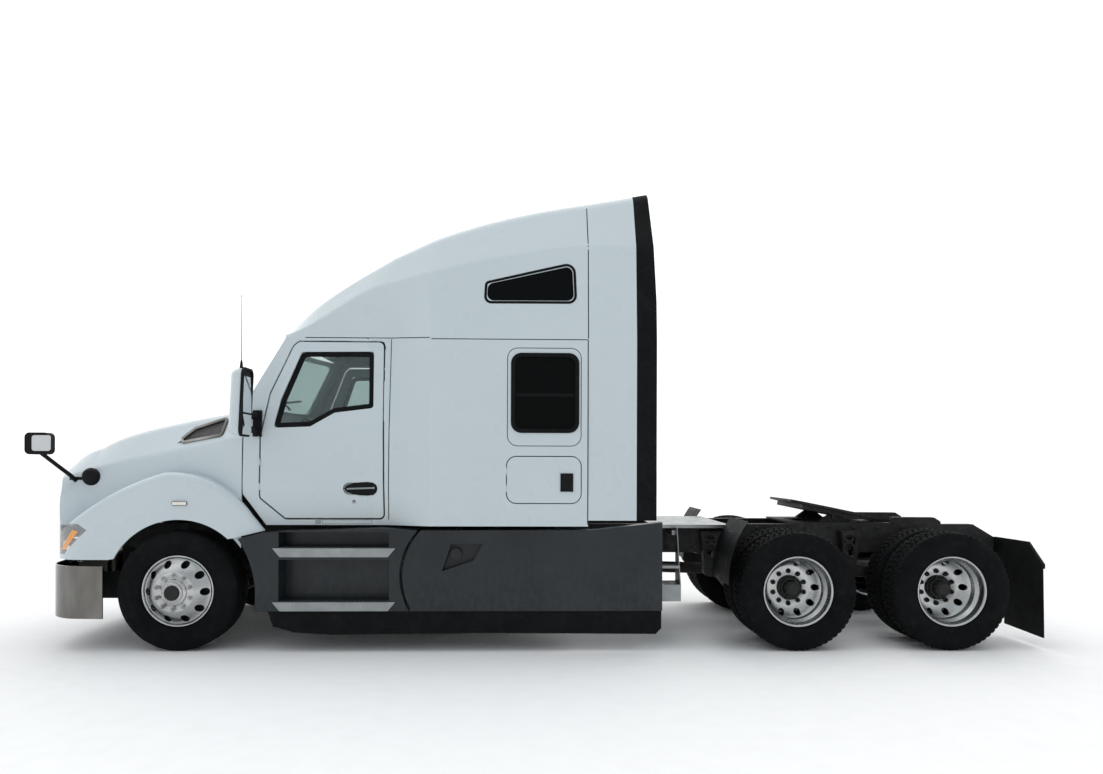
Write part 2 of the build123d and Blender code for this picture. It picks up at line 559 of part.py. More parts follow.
DOOR_GAP = 14.0
DOOR_FRONT_X = 660.0
DOOR_HINGE_X = DOOR_FRONT_X - 8
DOOR_HINGE_Y = 1072.0
DOOR_HINGE_Z = (1350.0, 1560.0)
HINGE_HEIGHT = 60.0
HINGE_LEAF_DEPTH = 14.0


def hinge_half(x, turn, y, foot, barrel, gap, moving):
    """One half of an upright pin hinge in a panel gap: the fixed half ahead, or the moving one behind."""
    with BuildPart() as half:
        third = HINGE_HEIGHT / 3
        spans = ((third + FIT_GAP, third - 2 * FIT_GAP),) if moving else ((0, third), (2 * third, third))
        for start, height in spans:
            with Locations((FRONT_AXLE_X + x, -turn * y, foot + start)):
                Cylinder(barrel, height, align=(Align.CENTER, Align.CENTER, Align.MIN))
            reach = gap / 2 + 6
            with Locations((FRONT_AXLE_X + x + (reach / 2 if moving else -reach / 2),
                            -turn * (y - HINGE_LEAF_DEPTH / 2), foot + start)):
                Box(reach, HINGE_LEAF_DEPTH, height, align=(Align.CENTER, Align.CENTER, Align.MIN))
        with Locations((FRONT_AXLE_X + x, -turn * y, foot)):
            if moving:
                Cylinder(barrel / 2 + FIT_GAP, HINGE_HEIGHT, align=(Align.CENTER, Align.CENTER, Align.MIN),
                         mode=Mode.SUBTRACT)
            else:
                Cylinder(barrel / 2, HINGE_HEIGHT, align=(Align.CENTER, Align.CENTER, Align.MIN))
    return half.part


# Door outline in the side view, clockwise from the foot of the front edge.
DOOR_OUTLINE = ((DOOR_FRONT_X, 1290.0), (DOOR_FRONT_X, 1800.0), (729.0, 2179.0), (907.0, 2595.0),
                (950.0, 2632.0), (1677.0, 2632.0), (1699.0, 1115.0), (868.0, 1115.0))
DOOR_WINDOW = ((760.0, 1882.0), (815.0, 2130.0), (975.0, 2545.0), (1596.0, 2552.0), (1605.0, 2057.0),
               (1277.0, 2015.0), (1073.0, 1895.0))

with BuildPart() as door_prism:
    with BuildSketch(side(-1300)) as door_face:
        Polygon(*DOOR_OUTLINE, align=None)
        fillet(door_face.vertices(), 34)
    extrude(amount=2600)

with BuildPart() as door_hole:
    with BuildSketch(side(-1300)) as door_hole_face:
        Polygon(*DOOR_OUTLINE, align=None)
        fillet(door_hole_face.vertices(), 34)
        offset(amount=DOOR_GAP)
    extrude(amount=2600)


def window_prism(points, radius, grow, reach=2600):
    """A prism through the truck from side to side, from a window outline grown by grow."""
    with BuildPart() as prism:
        with BuildSketch(side(-reach / 2)) as face:
            Polygon(*points, align=None)
            fillet(face.vertices(), radius)
            if grow:
                offset(amount=grow)
        extrude(amount=reach)
    return prism.part


def front_prism(points, radius, grow, start, length):
    """A prism along the truck, from an outline in the front view."""
    with BuildPart() as prism:
        with BuildSketch(across(start)) as face:
            Polygon(*points, align=None)
            fillet(face.vertices(), radius)
            if grow:
                offset(amount=grow)
        extrude(amount=length)
    return prism.part


WINDSHIELD_OUTLINE = ((-800.0, 2112.0), (800.0, 2112.0), (765.0, 2632.0), (-765.0, 2632.0))
GLASS_THICKNESS = 6.0

with BuildPart() as cab_shell:
    add(CAB_OUTSIDE)
    add(CAB_INSIDE, mode=Mode.SUBTRACT)
    add(door_hole.part, mode=Mode.SUBTRACT)
    add(front_prism(WINDSHIELD_OUTLINE, 60, 0, 250, 650), mode=Mode.SUBTRACT)
    for turn in SIDES.values():
        for foot in DOOR_HINGE_Z:
            add(hinge_half(DOOR_HINGE_X, turn, DOOR_HINGE_Y, foot, 6.0, DOOR_GAP, False))
save(cab_shell, "cab_shell")

with BuildPart() as windshield:
    add(cab_volume(16, 1200, 0))
    add(cab_volume(16 + GLASS_THICKNESS, 1300, 300), mode=Mode.SUBTRACT)
    add(front_prism(WINDSHIELD_OUTLINE, 60, -FIT_GAP, 250, 650), mode=Mode.INTERSECT)
save(windshield, "windshield")

# Sleeper: a flare up to full width, then straight back.
SLEEPER_WINDOW = ((2822.0, 1875.0), (2822.0, 2481.0), (3329.0, 2481.0), (3329.0, 1875.0))
UPPER_WINDOW = ((2582.0, 2963.0), (2588.0, 3108.0), (3304.0, 3270.0), (3318.0, 2963.0))
BAGGAGE_DOOR = ((2756.0, 1252.0), (2756.0, 1641.0), (3377.0, 1641.0), (3377.0, 1252.0))
WINDOW_RADIUS = 55.0
BAGGAGE_RADIUS = 80.0
BAGGAGE_HINGE_X = BAGGAGE_DOOR[0][0] - SEAM_GAP / 2
BAGGAGE_HINGE_Y = 1196.0
BAGGAGE_HINGE_Z = (1345.0, 1490.0)


def sleeper_volume(inset, rear, top, front=0.0):
    """Solid of the sleeper's outside (inset 0) or of the space inside its walls."""
    with BuildPart() as volume:
        sections = []
        for x, half in ((CAB_REAR_X, CAB_SECTION), (FLARE_END_X, SLEEPER_SECTION), (rear, SLEEPER_SECTION)):
            points = list(half)
            if top:
                points.append((half[-1][0] - 5, half[-1][1] + top))
            with BuildSketch(across(x)) as section:
                Polygon(*both_sides(points, inset, inset), align=None)
            sections.append(section.sketch)
        loft(sections=sections[:2], ruled=True)
        loft(sections=sections[1:], ruled=True)
        if front:
            extrude(sections[0], amount=front, dir=(-1, 0, 0))
    return volume.part


with BuildPart() as sleeper_shell:
    add(sleeper_volume(0, SLEEPER_REAR_X, 0))
    add(sleeper_volume(CAB_WALL, SLEEPER_REAR_X - CAB_WALL, 200, front=10), mode=Mode.SUBTRACT)
    add(window_prism(SLEEPER_WINDOW, WINDOW_RADIUS, 0), mode=Mode.SUBTRACT)
    add(window_prism(BAGGAGE_DOOR, BAGGAGE_RADIUS, SEAM_GAP), mode=Mode.SUBTRACT)
    for turn in SIDES.values():
        for foot in BAGGAGE_HINGE_Z:
            add(hinge_half(BAGGAGE_HINGE_X, turn, BAGGAGE_HINGE_Y, foot, 3.7, SEAM_GAP, False))
save(sleeper_shell, "sleeper_shell")

# Roof sections: x, seam half width and height, crease half width and height,
# shoulder half width and height, top height.
ROOF_SECTIONS = (
    (826.0, 940.0, CAB_ROOF_SEAM_Z, 915.0, 2700.0, 770.0, 2738.0, 2762.0),
    (1050.0, 945.0, CAB_ROOF_SEAM_Z, 945.0, 2785.0, 790.0, 2960.0, 2996.0),
    (1330.0, 945.0, CAB_ROOF_SEAM_Z, 965.0, 2952.0, 800.0, 3160.0, 3204.0),
    (CAB_REAR_X, 945.0, CAB_ROOF_SEAM_Z, 1000.0, 3125.0, 820.0, 3405.0, 3458.0),
    (FLARE_END_X, 1190.0, SLEEPER_ROOF_SEAM_Z, 1060.0, 3225.0, 835.0, 3575.0, 3634.0),
    (2520.0, 1190.0, SLEEPER_ROOF_SEAM_Z, 1090.0, 3308.0, 850.0, 3706.0, 3772.0),
    (2950.0, 1190.0, SLEEPER_ROOF_SEAM_Z, 1105.0, 3385.0, 860.0, 3808.0, 3878.0),
    (SLEEPER_REAR_X, 1190.0, SLEEPER_ROOF_SEAM_Z, 1115.0, 3440.0, 870.0, 3890.0, 3962.0),
)


ROOF_CREASE_RADIUS = 80.0
ROOF_SHOULDER_RADIUS = 170.0
ROOF_CROWN_RADIUS = 400.0


def roof_section(row, inset, drop):
    """Rounded roof section in the front view, drawn in by inset, with its foot lowered by drop."""
    x, seam_w, seam_z, crease_w, crease_z, shoulder_w, shoulder_z, top_z = row
    half = [(seam_w - inset, seam_z - drop), (crease_w - inset, crease_z - inset * 0.3),
            (shoulder_w - inset * 0.8, shoulder_z - inset * 0.8), (shoulder_w * 0.4, top_z - inset)]
    # The low front sections have short flanks, which limit their radii.
    return rounded_section(x, half, roof_radii(row))


def roof_radii(row):
    """Radii at the foot, the crease, the shoulder and the crown of one roof section."""
    _, _, seam_z, crease_w, crease_z, shoulder_w, shoulder_z, _ = row
    flank = hypot(crease_w - shoulder_w, shoulder_z - crease_z)
    return (0, min(ROOF_CREASE_RADIUS, 0.35 * (crease_z - seam_z)), min(ROOF_SHOULDER_RADIUS, 0.4 * flank),
            ROOF_CROWN_RADIUS)


def roof_volume(inset, drop, rear_cut):
    """Solid of the roof's outside (inset 0) or of the space under it."""
    sections = [roof_section(row, inset, drop) for row in ROOF_SECTIONS]
    cab_end = [row[0] for row in ROOF_SECTIONS].index(CAB_REAR_X)
    with BuildPart() as volume:
        # Smooth over the cab and over the sleeper, straight over the flare between them.
        loft(sections=sections[:cab_end + 1])
        loft(sections=sections[cab_end:cab_end + 2], ruled=True)
        loft(sections=sections[cab_end + 1:])
        if inset:
            first, last = ROOF_SECTIONS[0][0], ROOF_SECTIONS[-1][0]
            for x0, x1 in ((first - 50, first + inset * 2), (last - rear_cut, last + 50)):
                with Locations((FRONT_AXLE_X + (x0 + x1) / 2, 0, 3200)):
                    Box(x1 - x0, 2600, 1900, mode=Mode.SUBTRACT)
    return volume.part


with BuildPart() as roof_cap:
    add(roof_volume(0, 0, 0))
    add(roof_volume(CAB_WALL, 60, CAB_WALL), mode=Mode.SUBTRACT)
    add(window_prism(UPPER_WINDOW, WINDOW_RADIUS, 0), mode=Mode.SUBTRACT)
save(roof_cap, "roof_cap")

# Side glass of the sleeper: upright below, following the leaning wall above.
with BuildPart() as sleeper_glass:
    for points, foot_y, lean in ((SLEEPER_WINDOW, SLEEPER_SECTION[1][0] - 26, 0.0),
                                 (UPPER_WINDOW, 1136.0, 6.9)):
        foot_z = points[0][1]
        with BuildSketch(Plane(origin=(FRONT_AXLE_X, -foot_y, foot_z), x_dir=(1, 0, 0),
                               z_dir=(0, -cos(radians(lean)), sin(radians(lean))))):
            with Locations((3000, 100)):
                Rectangle(1400, 1400)
        slab = extrude(amount=GLASS_THICKNESS, mode=Mode.PRIVATE)
        add(slab & window_prism(points, WINDOW_RADIUS, -FIT_GAP))
    mirror(about=Plane.XZ)
save(sleeper_glass, "sleeper_glass")

# ------------------------------------------------------------------------------ doors
WINDOW_CORNER = 26.0
DOOR_LEAN = degrees(atan2(CAB_SECTION[2][0] - CAB_SECTION[3][0], CAB_SECTION[3][1] - CAB_SECTION[2][1]))

for name, turn in SIDES.items():
    with BuildPart() as half_space:
        with Locations((0, -turn * 1000, 1900)):
            Box(9000, 2000, 2600)
    with BuildPart() as door:
        add(CAB_OUTSIDE)
        add(CAB_INSIDE, mode=Mode.SUBTRACT)
        add(door_prism.part, mode=Mode.INTERSECT)
        add(half_space.part, mode=Mode.INTERSECT)
        add(window_prism(DOOR_WINDOW, WINDOW_CORNER, 0), mode=Mode.SUBTRACT)
        # Recess for the outside handle.
        with BuildSketch(side(turn * 1120)):
            with Locations((1504, 1366)):
                SlotOverall(292, 104)
        extrude(amount=-turn * 82, mode=Mode.SUBTRACT)
        with BuildSketch(side(turn * 1038)):
            with Locations((1504, 1366)):
                SlotOverall(250, 34)
        extrude(amount=turn * 36)
        for foot in DOOR_HINGE_Z:
            add(hinge_half(DOOR_HINGE_X, turn, DOOR_HINGE_Y, foot, 6.0, DOOR_GAP, True))
    save(door, f"door_{name}")

    with BuildPart() as door_glass:
        with BuildSketch(Plane(origin=(FRONT_AXLE_X, -turn * (CAB_SECTION[2][0] - 30), CAB_SECTION[2][1]),
                               x_dir=(1, 0, 0),
                               z_dir=(0, -turn * cos(radians(DOOR_LEAN)), sin(radians(DOOR_LEAN))))):
            with Locations((1200, turn * 300)):
                Rectangle(1400, 1000)
        extrude(amount=GLASS_THICKNESS)
        add(window_prism(DOOR_WINDOW, WINDOW_CORNER, -FIT_GAP), mode=Mode.INTERSECT)
    save(door_glass, f"door_glass_{name}")

    with BuildPart() as baggage_door:
        with BuildSketch(side(turn * (SLEEPER_SECTION[0][0] - CAB_WALL + 4))) as face:
            Polygon(*BAGGAGE_DOOR, align=None)
            fillet(face.vertices(), BAGGAGE_RADIUS)
        extrude(amount=turn * CAB_WALL)
        for foot in BAGGAGE_HINGE_Z:
            add(hinge_half(BAGGAGE_HINGE_X, turn, BAGGAGE_HINGE_Y, foot, 3.7, SEAM_GAP, True))
    save(baggage_door, f"baggage_door_{name}")

# ------------------------------------------------------------------------------- hood
# Hood sections: x, foot half width, side half width and height, shoulder half width and
# height, top height.
HOOD_SECTIONS = (
    (GRILLE_X, 1300.0, 900.0, 1380.0, 560.0, 1528.0, 1572.0),
    (-1123.0, 1300.0, 860.0, 1440.0, 600.0, 1606.0, 1662.0),
    (-889.0, 1010.0, 850.0, 1515.0, 650.0, 1712.0, 1776.0),
    (-624.0, 900.0, 872.0, 1585.0, 690.0, 1826.0, 1890.0),
    (-359.0, 930.0, 905.0, 1640.0, 722.0, 1893.0, 1956.0),
    (-94.0, 975.0, 950.0, 1690.0, 742.0, 1950.0, 2006.0),
    (210.0, 1028.0, 1008.0, 1750.0, 772.0, 2006.0, 2048.0),
    (HOOD_REAR_X, 1077.0, 1059.0, 1800.0, 805.0, 2050.0, 2074.0),
)
HOOD_FOOT_Z = 790.0
NOSE_SECTIONS = 3
HOOD_FLANK_RADIUS = 90.0
HOOD_SHOULDER_RADIUS = 130.0
HOOD_CROWN_RADIUS = 500.0
HOOD_HINGE_X = -1190.0
HOOD_HINGE_Z = 690.0
HOOD_ARM_Y = 472.0          # inner face of each hinge arm
HOOD_ARM_THICKNESS = 16.0
HOOD_PIN_RADIUS = 10.0
HOOD_BOSS_RADIUS = 22.0
FENDER_INNER_Y = 760.0
FENDER_TAIL_INNER_Y = 1088.0   # the tail of the fender lies outside the cab's corner
FENDER_CROWN_RADIUS = 62.0
COWL_GAP = 14.0


def hood_body(inset):
    """The hood's upper body as one solid; the space under it with an inset."""
    sections = []
    for x, foot_w, side_w, side_z, shoulder_w, shoulder_z, top_z in HOOD_SECTIONS:
        half = [(foot_w - inset, HOOD_FOOT_Z - inset), (side_w - inset, side_z - inset * 0.2),
                (shoulder_w - inset * 0.7, shoulder_z - inset * 0.8),
                (shoulder_w * 0.45, top_z - inset)]
        radii = (0, HOOD_FLANK_RADIUS, HOOD_SHOULDER_RADIUS, HOOD_CROWN_RADIUS)
        sections.append(rounded_section(x, half, radii))
    with BuildPart() as body:
        # The nose tapers fast, the rest runs smoothly back to the cowl.
        loft(sections=sections[:NOSE_SECTIONS])
        loft(sections=sections[NOSE_SECTIONS - 1:])
        if inset:
            extrude(sections[-1], amount=20, dir=(1, 0, 0))
    return body.part


def fender_blocks(inset):
    """Both fenders as solids; the space inside their skins with an inset."""
    with BuildPart() as fender:
        with BuildSketch(side(FENDER_INNER_Y - 4 * inset)) as outline:
            with BuildLine():
                front = Line((-1075, HOOD_FOOT_Z - 20), (-1085, 900))
                nose = ThreePointArc(front @ 1, (-700, 1232), (-120, 1500))
                rear = ThreePointArc(nose @ 1, (330, 1398), (600, 1150))
                Polyline(rear @ 1, (712, 1012), (468, 952), (-560, 770), front @ 0)
            make_face()
            if inset:
                offset(amount=-inset)
                with Locations((-790, 780)):
                    Rectangle(560, 120)
        extrude(amount=FENDER_OUTER_Y - inset - FENDER_INNER_Y + 4 * inset)
        crown = fender.edges().filter_by(GeomType.CIRCLE).group_by(Axis.Y)[0]
        fillet(crown, FENDER_CROWN_RADIUS - inset)
        mirror(about=Plane.XZ)
    return fender.part


def nose_plan(inset):
    """Prism of the hood's outline seen from above, drawn in by inset."""
    with BuildPart() as prism:
        with BuildSketch(LEVEL.offset(600)) as plan:
            with BuildLine():
                Line((GRILLE_X, 0), (GRILLE_X, 330))
                bow = ThreePointArc((GRILLE_X, 330), (-1188, 640), (-1092, 920))
                corner = ThreePointArc(bow @ 1, (-1000, 1078), (-780, FENDER_OUTER_Y + 0.5))
                Polyline(corner @ 1, (740, FENDER_OUTER_Y + 0.5), (740, 0), (GRILLE_X, 0))
            make_face()
            mirror(about=Plane.XZ)
            if inset:
                offset(amount=-inset)
        extrude(amount=1600)
    return prism.part


with BuildPart() as cowl_cut:
    with BuildSketch(LEVEL.offset(WINDSHIELD_BASE_Z - COWL_DEPTH - COWL_GAP)):
        with BuildLine():
            ThreePointArc((CAB_FRONT_X - COWL_GAP, -COWL_SHOULDER_Y), (COWL_CENTRE_X - COWL_GAP, 0),
                          (CAB_FRONT_X - COWL_GAP, COWL_SHOULDER_Y))
            Polyline((CAB_FRONT_X - COWL_GAP, COWL_SHOULDER_Y), (CAB_FRONT_X - COWL_GAP, 1400), (900, 1400),
                     (900, -1400), (CAB_FRONT_X - COWL_GAP, -1400), (CAB_FRONT_X - COWL_GAP, -COWL_SHOULDER_Y))
        make_face()
    extrude(amount=500)

with BuildPart() as arch:
    with BuildSketch(side(-1400)):
        with Locations((ARCH_CENTRE_X, HUB_HEIGHT)):
            Circle(ARCH_RADIUS)
    extrude(amount=2800)

GRILLE_OUTLINE = ((-420.0, 850.0), (420.0, 850.0), (440.0, 1300.0), (330.0, 1470.0), (-330.0, 1470.0),
                  (-440.0, 1300.0))
# Headlamp, in the front view and in the side view.
LAMP_FRONT_VIEW = ((600.0, 812.0), (1180.0, 812.0), (1180.0, 1072.0), (1000.0, 1046.0), (600.0, 930.0))
LAMP_SIDE_VIEW = ((-1300.0, 700.0), (-985.0, 812.0), (-952.0, 812.0), (-738.0, 1018.0), (-815.0, 1072.0),
                  (-1300.0, 1090.0))

with BuildPart() as lamp_prism:
    with BuildSketch(across(-1300)):
        Polygon(*LAMP_FRONT_VIEW, align=None)
    extrude(amount=700)
    with BuildSketch(side(-1300)):
        Polygon(*LAMP_SIDE_VIEW, align=None)
    extrude(amount=900, mode=Mode.INTERSECT)
    mirror(about=Plane.XZ)

HOOD_OUTSIDE = (hood_body(0) + fender_blocks(0)) & nose_plan(0)
HOOD_INSIDE = (hood_body(HOOD_WALL) + fender_blocks(HOOD_WALL)) & nose_plan(HOOD_WALL)

# Vent on the hood's flank, ahead of the windshield: a shallow recess.
VENT_OUTLINE = ((-120.0, 1752.0), (20.0, 1876.0), (286.0, 1966.0), (290.0, 1826.0))
VENT_RADIUS = 18.0
VENT_DEPTH = 8.0

with BuildPart() as hood:
    add(HOOD_OUTSIDE)
    add(HOOD_INSIDE, mode=Mode.SUBTRACT)
    add(arch.part, mode=Mode.SUBTRACT)
    add(cowl_cut.part, mode=Mode.SUBTRACT)
    add(front_prism(GRILLE_OUTLINE, 30, 0, -1300, 200), mode=Mode.SUBTRACT)
    add(lamp_prism.part, mode=Mode.SUBTRACT)
    add(window_prism(VENT_OUTLINE, VENT_RADIUS, 0) - hood_body(VENT_DEPTH), mode=Mode.SUBTRACT)
    # Behind the hood's rear edge only the fender's tail reaches back, outside the cab.
    with Locations((FRONT_AXLE_X + 900, 0, 1300)):
        Box(800 + 2 * (CAB_FRONT_X - COWL_GAP - 500), 2 * FENDER_TAIL_INNER_Y, 1800, mode=Mode.SUBTRACT)
    # Hinge arms behind the nose, curving back round the bumper's top.
    for y in (-HOOD_ARM_Y - HOOD_ARM_THICKNESS, HOOD_ARM_Y):
        with BuildSketch(side(-y)):
            Polygon((-1198, 985), (-1198, 815), (-1140, 800), (HOOD_HINGE_X + 8, HOOD_HINGE_Z + 18),
                    (HOOD_HINGE_X + 21, HOOD_HINGE_Z - 2), (-1092, 800), (-1110, 930), align=None)
            with Locations((HOOD_HINGE_X, HOOD_HINGE_Z)):
                Circle(HOOD_BOSS_RADIUS)
                Circle(HOOD_PIN_RADIUS + FIT_GAP, mode=Mode.SUBTRACT)
        extrude(amount=-HOOD_ARM_THICKNESS)
save(hood, "hood")

with BuildPart() as headlamps:
    add(HOOD_OUTSIDE)
    add(HOOD_INSIDE, mode=Mode.SUBTRACT)
    add(lamp_prism.part, mode=Mode.INTERSECT)
save(headlamps, "headlamps")

GRILLE_DEPTH = 34.0
GRILLE_BARS = 9
with BuildPart() as grille:
    with BuildSketch(across(GRILLE_X + 8)) as face:
        Polygon(*GRILLE_OUTLINE, align=None)
        fillet(face.vertices(), 30)
        offset(amount=-FIT_GAP)
    extrude(amount=GRILLE_DEPTH)
    with BuildSketch(across(GRILLE_X)) as slots:
        Polygon(*GRILLE_OUTLINE, align=None)
        offset(amount=-28, kind=Kind.INTERSECTION)
        pitch = (GRILLE_OUTLINE[3][1] - GRILLE_OUTLINE[0][1] - 56) / GRILLE_BARS
        for i in range(1, GRILLE_BARS):
            with Locations((0, GRILLE_OUTLINE[0][1] + 28 + i * pitch)):
                Rectangle(1000, 14, mode=Mode.SUBTRACT)
        Rectangle(22, 4000, mode=Mode.SUBTRACT)
    extrude(amount=100, mode=Mode.SUBTRACT)
save(grille, "grille")

# Hood mirrors: a foot on the hood's nose, a rising arm and a rounded head.
MIRROR_FOOT = (-1000.0, 850.0, 1402.0)
HOOD_MIRROR_HEAD = (-1140.0, 1140.0, 1738.0)
HOOD_MIRROR_SIZE = (196.0, 90.0, 182.0)
with BuildPart() as hood_mirrors:
    foot = Vector(FRONT_AXLE_X + MIRROR_FOOT[0], MIRROR_FOOT[1], MIRROR_FOOT[2])
    head = Vector(FRONT_AXLE_X + HOOD_MIRROR_HEAD[0], HOOD_MIRROR_HEAD[1], HOOD_MIRROR_HEAD[2])
    knee = foot + Vector(-10, 64, 60)
    with BuildLine():
        Polyline(foot + Vector(4, -10, 0), knee, head - Vector(0, 0, HOOD_MIRROR_SIZE[2] / 2 - 20))
    with BuildSketch(Plane(origin=foot + Vector(4, -10, 0), z_dir=knee - (foot + Vector(4, -10, 0)))):
        Circle(17)
    sweep(transition=Transition.ROUND)
    with Locations(foot):
        Box(110, 40, 110)
    fillet(hood_mirrors.edges().filter_by(Axis.Y).group_by(Axis.X)[-1], 20)
    with BuildSketch(Plane(origin=head - Vector(0, HOOD_MIRROR_SIZE[1] / 2, 0), x_dir=(1, 0, 0),
                           z_dir=(0, 1, 0))):
        RectangleRounded(HOOD_MIRROR_SIZE[0], HOOD_MIRROR_SIZE[2], 40)
    extrude(amount=HOOD_MIRROR_SIZE[1])
    add(HOOD_OUTSIDE, mode=Mode.SUBTRACT)
    mirror(about=Plane.XZ)
save(hood_mirrors, "hood_mirrors")

# ----------------------------------------------------------------------------- bumper
BUMPER_FRONT_X = -1270.0
BUMPER_SIDE_Y = 1200.0
BUMPER_REAR_X = -590.0
BUMPER_BOTTOM = 283.0
BUMPER_TOP = 719.0
BUMPER_WALL = 10.0
BUMPER_HOOD_GAP = 30.0
with BuildPart() as bumper:
    with BuildSketch(LEVEL.offset(BUMPER_BOTTOM)) as bumper_plan:
        with BuildLine():
            bow = ThreePointArc((BUMPER_FRONT_X, 0), (BUMPER_FRONT_X + 28, 420), (BUMPER_FRONT_X + 108, 820))
            corner = ThreePointArc(bow @ 1, (BUMPER_FRONT_X + 230, 1070), (BUMPER_FRONT_X + 400, 1180))
            Polyline(corner @ 1, (BUMPER_REAR_X, BUMPER_SIDE_Y), (BUMPER_REAR_X, 0), (BUMPER_FRONT_X, 0))
        make_face()
        mirror(about=Plane.XZ)
    extrude(amount=BUMPER_TOP - BUMPER_BOTTOM)
    with BuildSketch(LEVEL.offset(BUMPER_BOTTOM)):
        add(bumper_plan.sketch_local)
        offset(amount=-BUMPER_WALL)
        with Locations((BUMPER_REAR_X, 0)):
            Rectangle(60, 2 * BUMPER_SIDE_Y - 2 * BUMPER_WALL - 6)
    extrude(amount=BUMPER_TOP - BUMPER_BOTTOM, mode=Mode.SUBTRACT)
    # Brackets from the rails' noses to the bumper's back.
    for y in (-1, 1):
        with Locations((FRONT_AXLE_X + (BUMPER_FRONT_X + 22 + RAIL_FRONT_X) / 2 - 1, y * 400, 640)):
            Box(RAIL_FRONT_X - BUMPER_FRONT_X - 24, 40, 130)
        # Plate along the rail, with the hood's hinge pin on its nose.
        plate_y = RAIL_OUTER_Y + FIT_GAP if y > 0 else -RAIL_OUTER_Y - FIT_GAP - 20
        with BuildSketch(side(-plate_y)):
            Polygon((RAIL_FRONT_X + 190, 800), (-1120, 740), (HOOD_HINGE_X - 24, 722), (HOOD_HINGE_X - 24, 600),
                    (-1060, 580), (RAIL_FRONT_X + 190, 580), align=None)
        extrude(amount=-20)
        with BuildSketch(side(-y * (RAIL_OUTER_Y + 10))):
            with Locations((HOOD_HINGE_X, HOOD_HINGE_Z)):
                Circle(HOOD_PIN_RADIUS)
        extrude(amount=-y * (HOOD_ARM_Y + HOOD_ARM_THICKNESS + 12 - RAIL_OUTER_Y - 10))
        with Locations((FRONT_AXLE_X + RAIL_FRONT_X - 20, y * 410, 640)):
            Box(40, 64, 130)
save(bumper, "bumper")

# -------------------------------------------------------------- side fairings, steps
FAIRING_SEAM_X = 1950.0     # between the step fairing and the tank fairing
STEP_LENGTHS = (807.0, 1827.0)
STEP_HEIGHT = 74.0
STEP_DEPTH = 200.0
STEP_TOPS = (422.0, 872.0)
STEP_BEVEL = 62.0
POCKETS = ((858.0, 1775.0, STEP_TOPS[0] + 8, 776.0), (858.0, 1775.0, STEP_TOPS[1] + 8, 1006.0))

with BuildPart() as step_fairings:
    with BuildSketch(side(FAIRING_OUTER_Y - STEP_DEPTH)):
        with BuildLine():
            top_front = (520, 950)
            ThreePointArc((656, FAIRING_BOTTOM), (662, 560), top_front)
            Polyline(top_front, (712, 1000), (990, 1016), (1300, 1022), (1700, 1040), (2010, 1020))
            ThreePointArc((2010, 1020), (1862, 590), (1940, FAIRING_BOTTOM))
            Line((1940, FAIRING_BOTTOM), (656, FAIRING_BOTTOM))
        make_face()
    extrude(amount=STEP_DEPTH)
    # Hollow behind the skin, apart from the boxes around the steps.
    with BuildSketch(side(FAIRING_OUTER_Y - STEP_DEPTH)):
        with BuildLine():
            ThreePointArc((656 + 20, FAIRING_BOTTOM - 20), (682, 560), (544, 932))
            Polyline((544, 932), (715, 980), (990, 996), (1300, 1002), (1690, 1020), (1978, 1002))
            ThreePointArc((1978, 1002), (1842, 590), (1920, FAIRING_BOTTOM - 20))
            Line((1920, FAIRING_BOTTOM - 20), (676, FAIRING_BOTTOM - 20))
        make_face()
        for x0, x1, z0, z1 in POCKETS:
            with Locations(((x0 + x1) / 2, (z0 + z1) / 2)):
                Rectangle(x1 - x0 + 24, z1 - z0 + 40, mode=Mode.SUBTRACT)
    extrude(amount=STEP_DEPTH - FAIRING_WALL, mode=Mode.SUBTRACT)
    for x0, x1, z0, z1 in POCKETS:
        with BuildSketch(side(FAIRING_OUTER_Y - STEP_DEPTH + 12)):
            with Locations(((x0 + x1) / 2, (z0 + z1) / 2)):
                Rectangle(x1 - x0, z1 - z0)
        extrude(amount=STEP_DEPTH, mode=Mode.SUBTRACT)
    for top in STEP_TOPS:
        with BuildSketch(side(FAIRING_OUTER_Y - STEP_DEPTH + 12)):
            Polygon((STEP_LENGTHS[0] - FIT_GAP, top + FIT_GAP), (STEP_LENGTHS[1] + FIT_GAP, top + FIT_GAP),
                    (STEP_LENGTHS[1] - STEP_BEVEL + FIT_GAP, top - STEP_HEIGHT - FIT_GAP),
                    (STEP_LENGTHS[0] + STEP_BEVEL - FIT_GAP, top - STEP_HEIGHT - FIT_GAP), align=None)
        extrude(amount=STEP_DEPTH, mode=Mode.SUBTRACT)
    mirror(about=Plane.XZ)
save(step_fairings, "step_fairings")

with BuildPart() as steps:
    for top in STEP_TOPS:
        with BuildSketch(side(FAIRING_OUTER_Y - STEP_DEPTH + 12 + FIT_GAP)):
            Polygon((STEP_LENGTHS[0], top), (STEP_LENGTHS[1], top),
                    (STEP_LENGTHS[1] - STEP_BEVEL, top - STEP_HEIGHT),
                    (STEP_LENGTHS[0] + STEP_BEVEL, top - STEP_HEIGHT), align=None)
        extrude(amount=STEP_DEPTH - 12 + 6)
    mirror(about=Plane.XZ)
save(steps, "steps")

